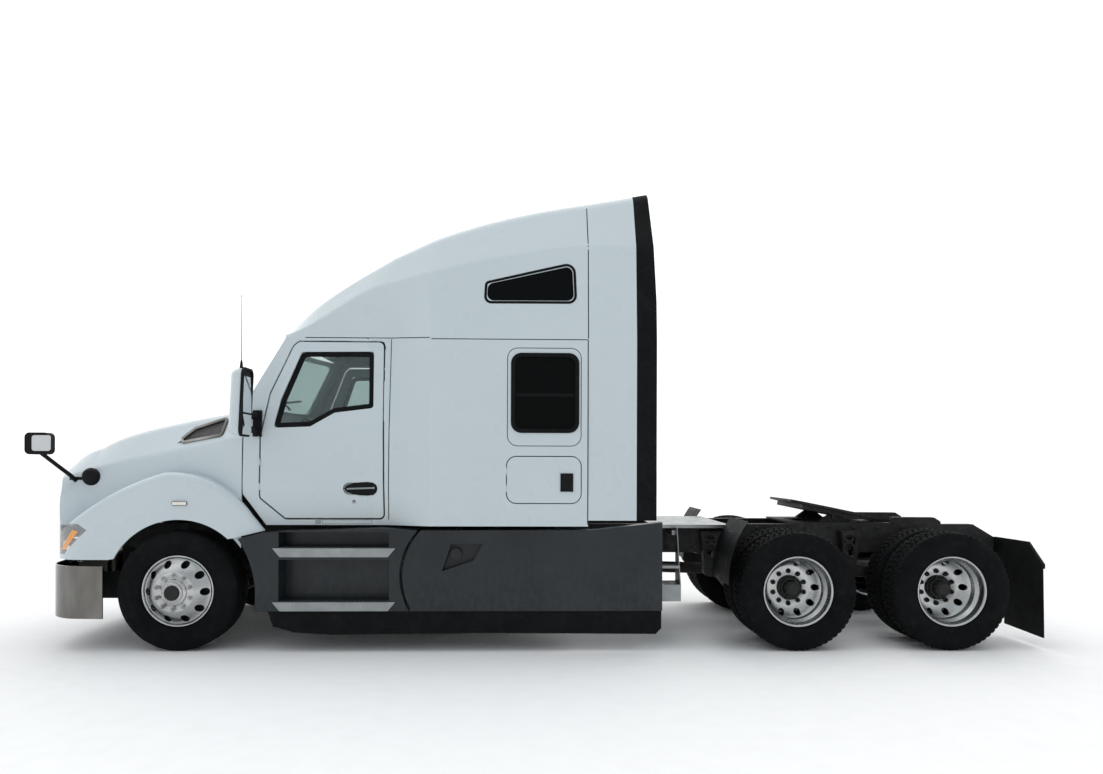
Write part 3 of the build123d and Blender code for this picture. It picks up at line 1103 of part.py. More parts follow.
FAIRING_REAR_X = 4068.0
FAIRING_SEAM_GAP = 26.0
FAIRING_DEPTH = 130.0
FILLER_OUTLINE = ((2292.0, 905.0), (2560.0, 912.0), (2480.0, 770.0), (2215.0, 680.0))
with BuildPart() as tank_fairings:
    with BuildSketch(side(FAIRING_OUTER_Y - FAIRING_DEPTH)):
        with BuildLine():
            seam = FAIRING_SEAM_GAP
            ThreePointArc((1940 + seam, FAIRING_BOTTOM), (1862 + seam, 590), (2010 + seam, 1020))
            Polyline((2010 + seam, 1020), (3500, 1026), (FAIRING_REAR_X, 1092), (FAIRING_REAR_X, FAIRING_BOTTOM),
                     (1940 + seam, FAIRING_BOTTOM))
        make_face()
    extrude(amount=FAIRING_DEPTH)
    with BuildSketch(side(FAIRING_OUTER_Y - FAIRING_DEPTH)):
        with BuildLine():
            ThreePointArc((1960 + seam, FAIRING_BOTTOM - 20), (1882 + seam, 590), (2038 + seam, 1002))
            Polyline((2038 + seam, 1002), (3500, 1008), (FAIRING_REAR_X + 10, 1072),
                     (FAIRING_REAR_X + 10, FAIRING_BOTTOM - 20), (1960 + seam, FAIRING_BOTTOM - 20))
        make_face()
        Polygon(*[(x + dx * 14, z + dz * 14) for (x, z), (dx, dz) in
                  zip(FILLER_OUTLINE, ((-1.4, 1), (1.8, 1), (1, -1.2), (-1.2, -1.2)))],
                align=None, mode=Mode.SUBTRACT)
    extrude(amount=FAIRING_DEPTH - FAIRING_WALL, mode=Mode.SUBTRACT)
    # Recess around the tank filler, with its round cap.
    with BuildSketch(side(FAIRING_OUTER_Y - 80)):
        Polygon(*FILLER_OUTLINE, align=None)
    extrude(amount=100, mode=Mode.SUBTRACT)
    with BuildSketch(side(FAIRING_OUTER_Y - 92)):
        with Locations((2330, 822)):
            Circle(46)
    extrude(amount=58)
    mirror(about=Plane.XZ)
save(tank_fairings, "tank_fairings")

SKIRT_TOP = FAIRING_BOTTOM - FIT_GAP
with BuildPart() as skirts:
    with BuildSketch(side(FAIRING_OUTER_Y - 24)):
        Polygon((764, SKIRT_TOP), (812, 218), (1000, 166), (1290, 148), (2600, 160), (4016, 149), (4062, 200),
                (4062, SKIRT_TOP), align=None)
    extrude(amount=14)
    mirror(about=Plane.XZ)
save(skirts, "skirts")

# ------------------------------------------------------------------------ fuel tanks
TANK_RADIUS = 300.0
TANK_Y = 770.0
TANK_Z = 690.0
TANK_ENDS = (2040.0, 3420.0)
with BuildPart() as fuel_tanks:
    with BuildSketch(side(-TANK_Y)) as profile:
        with Locations(((TANK_ENDS[0] + TANK_ENDS[1]) / 2, TANK_Z + TANK_RADIUS / 2)):
            Rectangle(TANK_ENDS[1] - TANK_ENDS[0], TANK_RADIUS)
        chamfer(profile.vertices().group_by(Axis.Z)[-1], 30)
    revolve(axis=Axis((FRONT_AXLE_X, TANK_Y, TANK_Z), (1, 0, 0)))
    # Cradles onto the rail, and brackets out to the fairing.
    for x in (2260, 3180):
        with BuildSketch(across(x)):
            Polygon((RAIL_OUTER_Y + FIT_GAP, 1000), (RAIL_OUTER_Y + 60, 1000), (TANK_Y - 150, TANK_Z - 150),
                    (TANK_Y, TANK_Z - 330), (RAIL_OUTER_Y + FIT_GAP, RAIL_BOTTOM), align=None)
        extrude(amount=60)
        reach = FAIRING_OUTER_Y - FAIRING_WALL - FIT_GAP
        with Locations((FRONT_AXLE_X + x + 30, (TANK_Y + reach) / 2, 560)):
            Box(60, reach - TANK_Y, 40)
    mirror(about=Plane.XZ)
save(fuel_tanks, "fuel_tanks")

# Brackets that hold the cab, the step boxes and the fairings' rear ends to the rails.
with BuildPart() as body_mounts:
    for x, top in ((800, CAB_FLOOR_Z), (1640, CAB_FLOOR_Z), (2400, CAB_FLOOR_Z), (3340, CAB_FLOOR_Z)):
        with Locations((FRONT_AXLE_X + x, RAIL_OUTER_Y - RAIL_FLANGE / 2, (RAIL_TOP + top) / 2)):
            Box(120, 70, top - RAIL_TOP - 2 * FIT_GAP)
    for x, reach in ((980, FAIRING_OUTER_Y - STEP_DEPTH), (1620, FAIRING_OUTER_Y - STEP_DEPTH),
                     (3900, FAIRING_OUTER_Y - FAIRING_WALL)):
        with Locations((FRONT_AXLE_X + x, (RAIL_OUTER_Y + reach) / 2, 850 if x < 2000 else 900)):
            Box(70, reach - RAIL_OUTER_Y - 2 * FIT_GAP, 60)
    mirror(about=Plane.XZ)
save(body_mounts, "body_mounts")

# -------------------------------------------------------------------- side extenders
EXTENDER_WALL = 34.0
EXTENDER_FOOT_Z = 1105.0
EXTENDER_SEAM_X = 3850.0
EXTENDER_REAR_X = 4020.0
EXTENDER_RISE = 0.178       # slope of the roof line over the extenders


def extender_section(x, inset, drop):
    """Closed, rounded section of the extenders and the roof lip between them at x."""
    _, seam_w, seam_z, crease_w, crease_z, shoulder_w, shoulder_z, top_z = ROOF_SECTIONS[-1]
    rise = (x - SLEEPER_REAR_X) * EXTENDER_RISE
    half = [(seam_w + 3 - inset, EXTENDER_FOOT_Z - drop), (seam_w - inset, seam_z),
            (crease_w - inset, crease_z), (shoulder_w - inset * 0.8, shoulder_z + rise - inset * 0.8),
            (shoulder_w * 0.4, top_z + rise - inset)]
    return rounded_section(x, half, (0, *roof_radii(ROOF_SECTIONS[-1])))


def extender_band(start, end, wall):
    """The arch of side walls and roof lip from start to end."""
    with BuildPart() as band:
        for inset, drop, mode in ((0, 0, Mode.ADD), (wall, 50, Mode.SUBTRACT)):
            over = 5 if inset else 0
            loft(sections=[extender_section(x, inset, drop) for x in (start - over, end + over)],
                 ruled=True, mode=mode)
    return band.part


with BuildPart() as side_extenders:
    add(extender_band(SLEEPER_REAR_X + FIT_GAP, EXTENDER_SEAM_X, EXTENDER_WALL))
save(side_extenders, "side_extenders")

with BuildPart() as extender_edges:
    add(extender_band(EXTENDER_SEAM_X + FIT_GAP, EXTENDER_REAR_X, EXTENDER_WALL - 12))
    with BuildSketch(side(-1300)):
        Polygon((EXTENDER_REAR_X, 2962), (EXTENDER_REAR_X + 1, 4200), (EXTENDER_REAR_X - 50, 4200), align=None)
    extrude(amount=2600, mode=Mode.SUBTRACT)
save(extender_edges, "extender_edges")

# ---------------------------------------------------------------- deck and frame steps
DECK_Z = RAIL_TOP + FIT_GAP
with BuildPart() as deck_plate:
    with Locations((FRONT_AXLE_X + (4078 + 4790) / 2, 0, DECK_Z + 3)):
        Box(4790 - 4078, 1240, 6)
    # Folded edges along both sides.
    for y in (-1, 1):
        with Locations((FRONT_AXLE_X + (4078 + 4790) / 2, y * 617, DECK_Z - 12)):
            Box(4790 - 4078, 6, 24)
save(deck_plate, "deck_plate")

LADDER_Y = (640.0, 900.0)
LADDER_X = (4086.0, 4286.0)
with BuildPart() as frame_steps:
    width = LADDER_X[1] - LADDER_X[0]
    depth = LADDER_Y[1] - LADDER_Y[0]
    centre = (FRONT_AXLE_X + sum(LADDER_X) / 2, -sum(LADDER_Y) / 2)
    for x in (LADDER_X[0] + 4, LADDER_X[1] - 4):
        with BuildSketch(across(x - 4)):
            Polygon((-LADDER_Y[0] - 20, 1010), (-LADDER_Y[0] - 90, 1010), (-LADDER_Y[1] + 60, 660),
                    (-LADDER_Y[1], 520), (-LADDER_Y[1], 372), (-LADDER_Y[0] - 20, 372), align=None)
        extrude(amount=8)
    with Locations((*centre, 668)):
        Box(width, depth - 120, 24)
    with Locations((*centre, 508)):
        Box(width, depth, 24)
    with Locations((centre[0], -LADDER_Y[1] + 3, 446)):
        Box(width, 6, 148)
    # Arms back to the rail.
    for x in (LADDER_X[0] + 20, LADDER_X[1] - 20):
        with Locations((FRONT_AXLE_X + x, -(RAIL_OUTER_Y + FIT_GAP + LADDER_Y[0] + 30) / 2, 960)):
            Box(40, LADDER_Y[0] + 30 - RAIL_OUTER_Y - FIT_GAP, 40)
save(frame_steps, "frame_steps")

# ------------------------------------------------------------------------ fifth wheel
PLATE_TOP = 70.0            # above the pivot, square to the plate
PLATE_THICKNESS = 22.0
PLATE_FRONT = -430.0
PLATE_REAR = 500.0
PIVOT_Y = 330.0
PIVOT_RADIUS = 20.0
LUG_GAP = 2.0
BASE_THICKNESS = 16.0
PLATE = Plane(origin=(FRONT_AXLE_X + FIFTH_WHEEL_X, 0, FIFTH_WHEEL_PIVOT_Z),
              x_dir=(cos(radians(FIFTH_WHEEL_TILT)), 0, -sin(radians(FIFTH_WHEEL_TILT))),
              z_dir=(sin(radians(FIFTH_WHEEL_TILT)), 0, cos(radians(FIFTH_WHEEL_TILT))))

with BuildPart() as fifth_wheel_base:
    base_top = RAIL_TOP + FIT_GAP + BASE_THICKNESS
    with Locations((FRONT_AXLE_X + FIFTH_WHEEL_X, 0, RAIL_TOP + FIT_GAP + BASE_THICKNESS / 2)):
        Box(840, 2 * RAIL_OUTER_Y - 4, BASE_THICKNESS)
        Box(620, 400, BASE_THICKNESS, mode=Mode.SUBTRACT)
    for y in (-PIVOT_Y, PIVOT_Y):
        with BuildSketch(side(-y - 20)):
            Polygon((FIFTH_WHEEL_X - 150, base_top), (FIFTH_WHEEL_X + 150, base_top),
                    (FIFTH_WHEEL_X + 34, FIFTH_WHEEL_PIVOT_Z + 22), (FIFTH_WHEEL_X - 34, FIFTH_WHEEL_PIVOT_Z + 22),
                    align=None)
        extrude(amount=40)
        with BuildSketch(side(-y - 46)):
            with Locations((FIFTH_WHEEL_X, FIFTH_WHEEL_PIVOT_Z)):
                Circle(PIVOT_RADIUS)
        extrude(amount=92)
    # Ramps on the rails behind the plate.
    for y in (-1, 1):
        with BuildSketch(side(-y * (RAIL_OUTER_Y - RAIL_FLANGE / 2) - 38)):
            Polygon((6398, RAIL_TOP + FIT_GAP), (6861, RAIL_TOP + FIT_GAP), (6861, 1048), (6800, 1086),
                    (6398, 1088), align=None)
        extrude(amount=76)
        with Locations((FRONT_AXLE_X + 6343, y * (RAIL_OUTER_Y - 40), RAIL_TOP + FIT_GAP + 6)):
            Box(112, 60, 12)
save(fifth_wheel_base, "fifth_wheel_base")

with BuildPart() as fifth_wheel:
    with BuildSketch(PLATE.offset(PLATE_TOP - PLATE_THICKNESS)) as plate_face:
        Polygon((PLATE_FRONT, 0), (PLATE_FRONT, 330), (PLATE_FRONT + 90, 430), (-180, 457), (120, 457),
                (300, 400), (PLATE_REAR, 330), (PLATE_REAR, 120), (170, 26), (170, 0), align=None)
        mirror(about=Plane.XZ)
        with Locations((100, 0)):
            Rectangle(200, 2 * KINGPIN_BORE_RADIUS, mode=Mode.SUBTRACT)
        Circle(KINGPIN_BORE_RADIUS, mode=Mode.SUBTRACT)
    extrude(amount=PLATE_THICKNESS)
    # Ribs below the plate, the lock housing round the bore and the pivot lugs.
    with BuildSketch(PLATE.offset(PLATE_TOP - PLATE_THICKNESS)):
        for y in (-400, -250, 250, 400):
            with Locations((-60, y)):
                Rectangle(520, 16)
        with Locations((-318, 0), (-150, 0)):
            Rectangle(16, 780)
        with Locations((190, 260), (190, -260)):
            Rectangle(16, 290)
        with Locations((-40, 0)):
            Rectangle(200, 240)
        Circle(KINGPIN_BORE_RADIUS, mode=Mode.SUBTRACT)
        with Locations((60, 0)):
            Rectangle(120, 2 * KINGPIN_BORE_RADIUS, mode=Mode.SUBTRACT)
    extrude(amount=-(PLATE_TOP - PLATE_THICKNESS - 4))
    for y in (-PIVOT_Y, PIVOT_Y):
        for way in (-1, 1):
            lug_y = y + way * (20 + LUG_GAP + 11)
            with BuildSketch(Plane(origin=(FRONT_AXLE_X + FIFTH_WHEEL_X, lug_y - 11, FIFTH_WHEEL_PIVOT_Z),
                                   x_dir=(1, 0, 0), z_dir=(0, 1, 0))):
                Circle(34)
            extrude(amount=22)
            with BuildSketch(PLATE.offset(6)):
                with Locations((0, lug_y)):
                    Rectangle(60, 22)
            extrude(amount=PLATE_TOP - PLATE_THICKNESS - 6)
        with BuildSketch(Plane(origin=(FRONT_AXLE_X + FIFTH_WHEEL_X, y - 60, FIFTH_WHEEL_PIVOT_Z),
                               x_dir=(1, 0, 0), z_dir=(0, 1, 0))):
            Circle(PIVOT_RADIUS + FIT_GAP)
        extrude(amount=120, mode=Mode.SUBTRACT)
save(fifth_wheel, "fifth_wheel")

# -------------------------------------------------------------- fenders, flaps, lamps
QUARTER_OUTER_Y = 1210.0
QUARTER_INNER_Y = 626.0
with BuildPart() as quarter_fenders:
    with BuildSketch(side(-QUARTER_OUTER_Y)):
        with BuildLine():
            ThreePointArc((4800, 1096), (4672, 850), (4634, 560))
            Line((4634, 560), (4628, 560))
            ThreePointArc((4628, 560), (4666, 852), (4796, 1101))
            Line((4796, 1101), (4800, 1096))
        make_face()
    extrude(amount=QUARTER_OUTER_Y - QUARTER_INNER_Y)
    with BuildSketch(side(-QUARTER_OUTER_Y + 90)):
        with Locations((4737, 979.5)):
            Circle(17)
    extrude(amount=QUARTER_OUTER_Y - 90 - RAIL_OUTER_Y - FIT_GAP)
    mirror(about=Plane.XZ)
save(quarter_fenders, "quarter_fenders")

FLAP_X = 7372.0
with BuildPart() as mud_flaps:
    with BuildSketch(across(FLAP_X)):
        Polygon((RAIL_OUTER_Y + FIT_GAP, 905), (930, 905), (1135, 728), (1135, 690), (915, 870),
                (RAIL_OUTER_Y + FIT_GAP, 870), align=None)
    extrude(amount=26)
    with BuildSketch(across(FLAP_X)):
        Polygon((600, 880), (912, 880), (1135, 696), (1150, 96), (600, 112), align=None)
    extrude(amount=10)
    mirror(about=Plane.XZ)
save(mud_flaps, "mud_flaps")

with BuildPart() as tail_lamps:
    lamp_face = CROSSMEMBER_X[-1] + CROSSMEMBER_LENGTH / 2 + FIT_GAP
    with BuildSketch(across(lamp_face)):
        with Locations((0, 850)):
            Rectangle(700, 120)
    extrude(amount=4)
    with BuildSketch(across(lamp_face + 4)):
        with Locations((-280, 850), (-165, 850), (165, 850), (280, 850)):
            Circle(50)
    extrude(amount=26)
save(tail_lamps, "tail_lamps")

# ---------------------------------------------------------------- mirrors and antenna
MIRROR_Y = (1222.0, 1432.0)
MIRROR_X = (478.0, 642.0)
MIRROR_Z = (1800.0, 2350.0)
with BuildPart() as mirrors:
    with BuildSketch(LEVEL.offset(MIRROR_Z[0])) as mirror_plan:
        with BuildLine():
            Line((MIRROR_X[1], MIRROR_Y[0]), (MIRROR_X[1], MIRROR_Y[1]))
            ThreePointArc((MIRROR_X[1], MIRROR_Y[1]), (MIRROR_X[0] + 44, MIRROR_Y[1] - 26),
                          (MIRROR_X[0], MIRROR_Y[0] + 96))
            ThreePointArc((MIRROR_X[0], MIRROR_Y[0] + 96), (MIRROR_X[0] + 56, MIRROR_Y[0] + 12),
                          (MIRROR_X[1], MIRROR_Y[0]))
        make_face()
    extrude(amount=MIRROR_Z[1] - MIRROR_Z[0])
    # Two arms to a foot on the cowl side.
    with BuildSketch(side(-MIRROR_Y[0] - 20)):
        Polygon((560, 1838), (634, 1838), (664, 2004), (600, 2004), align=None)
    extrude(amount=260)
    with BuildSketch(side(-MIRROR_Y[0] - 20)):
        with Locations((608, 1920)):
            Rectangle(200, 90)
    extrude(amount=190, mode=Mode.SUBTRACT)
    add(CAB_OUTSIDE, mode=Mode.SUBTRACT)
    mirror(about=Plane.XZ)
    # Whip antenna on the driver's side mirror.
    with Locations((FRONT_AXLE_X + 596, -(MIRROR_Y[0] + 110), MIRROR_Z[1])):
        Cylinder(9, 60, align=(Align.CENTER, Align.CENTER, Align.MIN))
        Cone(4, 2, 596, align=(Align.CENTER, Align.CENTER, Align.MIN))
save(mirrors, "mirrors")

# --------------------------------------------------------------------------- interior
CAB_INNER_X = CAB_FRONT_X + CAB_WALL + FIT_GAP
FLOOR_TOP = CAB_FLOOR_Z + CAB_WALL
with BuildPart() as dashboard:
    with BuildSketch(side(-940)):
        Polygon((CAB_INNER_X, 1500), (760, 1430), (905, 1640), (880, 1800), (700, 1900), (CAB_INNER_X, 1920),
                align=None)
    extrude(amount=1880)
save(dashboard, "dashboard")

WHEEL_Y = -500.0
with BuildPart() as steering_wheel:
    tilt = radians(42)
    rim_centre = Vector(FRONT_AXLE_X + 1010, WHEEL_Y, 1830)
    wheel_plane = Plane(origin=rim_centre, x_dir=(0, 1, 0), z_dir=(cos(tilt), 0, sin(tilt)))
    with BuildSketch(Plane(origin=rim_centre + Vector(0, 222, 0), x_dir=(0, 1, 0),
                           z_dir=(-sin(tilt), 0, cos(tilt)))):
        Circle(15)
    revolve(axis=Axis(rim_centre, (cos(tilt), 0, sin(tilt))))
    with BuildSketch(wheel_plane.offset(-30)):
        Circle(52)
        for turn in (0, 120, 240):
            with Locations(Rotation(0, 0, turn)):
                with Locations((0, -115)):
                    Rectangle(34, 220)
    extrude(amount=22)
    with BuildSketch(wheel_plane.offset(-150)):
        Circle(32)
    extrude(amount=130)
    add(dashboard.part, mode=Mode.SUBTRACT)
save(steering_wheel, "steering_wheel")

SEAT_X = 1150.0
SEAT_FOOT_Z = DOOR_OUTLINE[-1][1] - DOOR_GAP + FIT_GAP
with BuildPart() as seats:
    with BuildSketch(side(-840)):
        Polygon((SEAT_X, SEAT_FOOT_Z), (SEAT_X + 480, SEAT_FOOT_Z), (SEAT_X + 430, 1420),
                (SEAT_X + 40, 1420), align=None)
        Polygon((SEAT_X - 30, 1420), (SEAT_X + 500, 1400), (SEAT_X + 640, 2080), (SEAT_X + 640, 2260),
                (SEAT_X + 560, 2270), (SEAT_X + 530, 2080), (SEAT_X + 400, 1560), (SEAT_X - 30, 1560), align=None)
    extrude(amount=520)
    mirror(about=Plane.XZ)
save(seats, "seats")

BUNK_X = 2400.0
BUNK_Z = 1660.0
with BuildPart() as bunk:
    inner_rear = SLEEPER_REAR_X - CAB_WALL - FIT_GAP
    with Locations((FRONT_AXLE_X + (BUNK_X + inner_rear) / 2, 0, BUNK_Z + 15)):
        Box(inner_rear - BUNK_X, 2280, 30)
    with Locations((FRONT_AXLE_X + BUNK_X + 12, 0, (BUNK_Z + FLOOR_TOP + FIT_GAP) / 2)):
        Box(24, 2280, BUNK_Z - FLOOR_TOP - FIT_GAP)
save(bunk, "bunk")

with BuildPart() as mattress:
    with Locations((FRONT_AXLE_X + (BUNK_X + 40 + SLEEPER_REAR_X - 90) / 2, 0, BUNK_Z + 30 + FIT_GAP + 75)):
        Box(SLEEPER_REAR_X - 90 - BUNK_X - 40, 2060, 150)
    fillet(mattress.edges(), 30)
save(mattress, "mattress")
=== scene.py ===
"""Looks of the sleeper-cab tractor unit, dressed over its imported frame. Metres, Z up, nose towards -X."""
import math
from contextlib import contextmanager

import bmesh
import bpy
from mathutils import Matrix, Vector
from mathutils.bvhtree import BVHTree


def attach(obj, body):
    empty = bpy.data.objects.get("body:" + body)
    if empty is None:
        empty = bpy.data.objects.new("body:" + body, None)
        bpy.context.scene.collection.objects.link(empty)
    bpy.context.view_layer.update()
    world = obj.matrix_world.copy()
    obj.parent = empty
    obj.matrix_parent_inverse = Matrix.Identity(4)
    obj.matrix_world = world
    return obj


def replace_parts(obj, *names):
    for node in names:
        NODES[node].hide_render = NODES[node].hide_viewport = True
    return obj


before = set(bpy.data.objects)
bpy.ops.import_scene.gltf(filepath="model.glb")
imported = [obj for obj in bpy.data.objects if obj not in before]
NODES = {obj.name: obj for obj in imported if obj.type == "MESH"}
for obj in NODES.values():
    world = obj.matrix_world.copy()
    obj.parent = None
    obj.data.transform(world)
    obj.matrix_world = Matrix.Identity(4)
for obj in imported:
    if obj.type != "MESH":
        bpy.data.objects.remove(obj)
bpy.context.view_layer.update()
SIDES = {"left": -1.0, "right": 1.0}

FRONT_AXLE = -3.070         # row x of the front axle, in metres
# Wheels, in millimetres: x behind the front axle, y from the middle, z above the ground.
HUB_Z = 505.0
DRIVE_X = (5229.0, 6550.0)
STEER_TYRE_Y = 1017
STEER_FLANGE_Y = 1142
OUTER_TYRE_Y = 1077
TWIN_SPACING = 335
DRIVE_FLANGE_Y = 1202
DISC_JOINT_Y = 909.5        # where the discs of twin wheels meet
TREAD_RADIUS = 505.0
STEER_FACE = 73             # steered disc's bolting face, outboard of its flange
STUDS = 10
STUD_RING = 0.1425          # metres


def at(x, y, z):
    """Row point from millimetres: x behind the front axle, y across, z above the ground."""
    return Vector((FRONT_AXLE + x / 1000, y / 1000, z / 1000))


def linked(name, data):
    obj = bpy.data.objects.new(name, data)
    bpy.context.scene.collection.objects.link(obj)
    return obj


# ------------------------------------------------------------------ camera and stage
def camera():
    data = bpy.data.cameras.new("camera")
    data.sensor_width = 36.0
    data.lens = 25.1
    data.shift_y = 0.0723
    data.clip_end = 500
    obj = linked("camera", data)
    place = Matrix.Translation((-0.102, -7.663, 1.558))
    yaw = Matrix.Rotation(math.radians(-1.44), 4, "Z")
    level = Matrix.Rotation(math.radians(90), 4, "X")
    roll = Matrix.Rotation(0.0032, 4, "Z")
    obj.matrix_world = place @ (yaw @ level) @ roll
    bpy.context.scene.camera = obj


def floor():
    mesh = bpy.data.meshes.new("floor")
    bm = bmesh.new()
    bmesh.ops.create_circle(bm, cap_ends=True, segments=96, radius=400)
    bm.to_mesh(mesh)
    bm.free()
    ground = linked("floor", mesh)
    look = Finish("floor_pale")
    pale = [(0.3, (0.93, 0.93, 0.93)), (0.7, (0.96, 0.96, 0.96))]
    look.colour(look.shader.inputs["Base Color"], look.noise(6.0, 3.0), pale)
    look.set("Roughness", 0.9)
    look.set("Specular IOR Level", 0.0)
    ground.data.materials.append(look.material)


def studio():
    """A white backdrop beyond the truck, a dimmer room on the near side, and one wide soft light."""
    world = bpy.data.worlds.new("studio")
    bpy.context.scene.world = world
    world.use_nodes = True
    tree = world.node_tree
    where = tree.nodes.new("ShaderNodeTexCoord")
    axes = tree.nodes.new("ShaderNodeSeparateXYZ")
    tree.links.new(where.outputs["Generated"], axes.inputs[0])
    room = tree.nodes.new("ShaderNodeValToRGB")
    fill_ramp(room.color_ramp, [(0.0, (0.50, 0.50, 0.49)), (0.50, (0.62, 0.63, 0.635)),
                                (0.56, (0.64, 0.66, 0.67)), (0.72, (0.68, 0.72, 0.75)),
                                (1.0, (0.50, 0.54, 0.57))])
    lift = tree.nodes.new("ShaderNodeMapRange")
    lift.inputs["From Min"].default_value = -1.0
    tree.links.new(axes.outputs[2], lift.inputs["Value"])
    tree.links.new(lift.outputs[0], room.inputs[0])
    beyond = tree.nodes.new("ShaderNodeMapRange")
    beyond.inputs["From Min"].default_value = -0.5
    beyond.inputs["From Max"].default_value = 0.4
    tree.links.new(axes.outputs[1], beyond.inputs["Value"])
    mix = tree.nodes.new("ShaderNodeMix")
    mix.data_type = "RGBA"
    tree.links.new(beyond.outputs[0], mix.inputs[0])
    tree.links.new(room.outputs[0], mix.inputs[6])
    mix.inputs[7].default_value = (1.25, 1.25, 1.25, 1)
    back = tree.nodes["Background"]
    tree.links.new(mix.outputs[2], back.inputs["Color"])
    back.inputs["Strength"].default_value = 1.0
    sun = bpy.data.lights.new("overhead", "SUN")
    sun.energy = 0.62
    sun.angle = math.radians(100)
    linked("overhead", sun).rotation_euler = (math.radians(-12), math.radians(-10), 0)
    view = bpy.context.scene.view_settings
    view.view_transform = "Standard"
    view.look = "None"


# ------------------------------------------------------------------------- materials
def fill_ramp(ramp, stops):
    while len(ramp.elements) < len(stops):
        ramp.elements.new(0.5)
    for element, (place, colour) in zip(ramp.elements, stops):
        element.position = place
        element.color = (*colour, 1)


class Finish:
    """A node material on one Principled shader, with short calls for the patterns that feed it."""

    def __init__(self, name):
        self.material = bpy.data.materials.new(name)
        self.material.use_nodes = True
        self.tree = self.material.node_tree
        self.shader = self.tree.nodes["Principled BSDF"]
        self.where = self.add("ShaderNodeTexCoord").outputs["Object"]

    def add(self, kind, **values):
        node = self.tree.nodes.new(kind)
        for key, value in values.items():
            setattr(node, key, value)
        return node

    def link(self, source, socket):
        self.tree.links.new(source, socket)

    def set(self, name, value):
        self.shader.inputs[name].default_value = value

    def scaled(self, factors):
        node = self.add("ShaderNodeVectorMath", operation="MULTIPLY")
        self.link(self.where, node.inputs[0])
        node.inputs[1].default_value = factors
        return node.outputs[0]

    def noise(self, scale, detail, where=None, roughness=0.5):
        node = self.add("ShaderNodeTexNoise")
        self.link(where or self.where, node.inputs["Vector"])
        node.inputs["Scale"].default_value = scale
        node.inputs["Detail"].default_value = detail
        node.inputs["Roughness"].default_value = roughness
        return node.outputs["Fac"]

    def bands(self, direction, scale):
        node = self.add("ShaderNodeTexWave", wave_type="BANDS", bands_direction=direction)
        self.link(self.where, node.inputs["Vector"])
        node.inputs["Scale"].default_value = scale
        return node.outputs["Fac"]

    def ramp(self, source, stops):
        node = self.add("ShaderNodeValToRGB")
        fill_ramp(node.color_ramp, stops)
        self.link(source, node.inputs[0])
        return node.outputs[0]

    def between(self, source, low, high):
        """A colour that runs from low to high with a pattern."""
        return self.ramp(source, [(0.3, low), (0.7, high)])

    def colour(self, socket, source, stops):
        self.link(self.ramp(source, stops), socket)

    def value(self, source, low, high, start, end):
        """The pattern from start to end, mapped to low to high."""
        node = self.add("ShaderNodeMapRange")
        node.inputs["From Min"].default_value = start
        node.inputs["From Max"].default_value = end
        node.inputs["To Min"].default_value = low
        node.inputs["To Max"].default_value = high
        self.link(source, node.inputs["Value"])
        return node.outputs[0]

    def rough(self, source, low, high, start=0.3, end=0.7):
        self.link(self.value(source, low, high, start, end), self.shader.inputs["Roughness"])

    def bump(self, source, strength, distance):
        node = self.add("ShaderNodeBump")
        node.inputs["Strength"].default_value = strength
        node.inputs["Distance"].default_value = distance
        self.link(source, node.inputs["Height"])
        self.link(node.outputs[0], self.shader.inputs["Normal"])

    def film(self, thinning, speck, base, dirt):
        """Dirt over the base colour, where the film and its specks meet."""
        both = self.add("ShaderNodeMath", operation="MULTIPLY")
        self.link(thinning, both.inputs[0])
        self.link(speck, both.inputs[1])
        self.dusted(both.outputs[0], base, dirt)

    def dusted(self, amount, base, dust):
        node = self.add("ShaderNodeMix", data_type="RGBA")
        self.link(amount, node.inputs[0])
        self.link(base, node.inputs[6])
        node.inputs[7].default_value = (*dust, 1)
        self.link(node.outputs[2], self.shader.inputs["Base Color"])

    def height(self):
        """The height above the ground, in metres."""
        node = self.add("ShaderNodeSeparateXYZ")
        self.link(self.where, node.inputs[0])
        return node.outputs[2]


def paint_white():
    look = Finish("paint_white")
    clean = look.between(look.noise(1.3, 3.0), (0.555, 0.625, 0.655), (0.57, 0.64, 0.67))
    # Road film that thins out above the sills.
    film = look.value(look.height(), 0.5, 0.0, 0.55, 1.25)
    speck = look.value(look.noise(38.0, 6.0, look.scaled((1, 1, 0.35))), 0.0, 0.2, 0.42, 0.8)
    look.film(film, speck, clean, (0.36, 0.36, 0.35))
    look.rough(look.noise(2.5, 2.0), 0.26, 0.30, 0.2, 0.8)
    look.set("Specular IOR Level", 0.35)
    look.set("Coat Weight", 0.35)
    look.set("Coat Roughness", 0.06)
    look.bump(look.noise(260.0, 2.0), 0.03, 0.0006)
    return look.material


def paint_charcoal():
    look = Finish("paint_charcoal")
    base = look.between(look.noise(2.2, 5.0), (0.009, 0.013, 0.016), (0.016, 0.022, 0.026))
    film = look.value(look.height(), 0.55, 0.05, 0.35, 0.95)
    speck = look.value(look.noise(24.0, 8.0, look.scaled((1, 1, 0.5))), 0.0, 1.0, 0.4, 0.75)
    look.film(film, speck, base, (0.034, 0.037, 0.039))
    look.rough(look.noise(7.0, 3.0), 0.36, 0.48)
    look.set("Specular IOR Level", 0.3)
    look.set("Coat Weight", 0.12)
    look.set("Coat Roughness", 0.15)
    look.bump(look.noise(420.0, 2.0), 0.05, 0.0005)
    return look.material


def dark_metal(name, low, high, dust, rough, grain, patch=5.0):
    look = Finish(name)
    base = look.between(look.noise(patch, 8.0, roughness=0.65), low, high)
    look.set("Specular IOR Level", 0.3)
    look.dusted(look.value(look.noise(17.0, 9.0, roughness=0.7), 0.0, 0.7, 0.48, 0.75), base, dust)
    look.rough(look.noise(23.0, 6.0), rough - 0.12, rough + 0.12)
    look.bump(look.noise(grain, 5.0), 0.25, 0.0015)
    return look.material


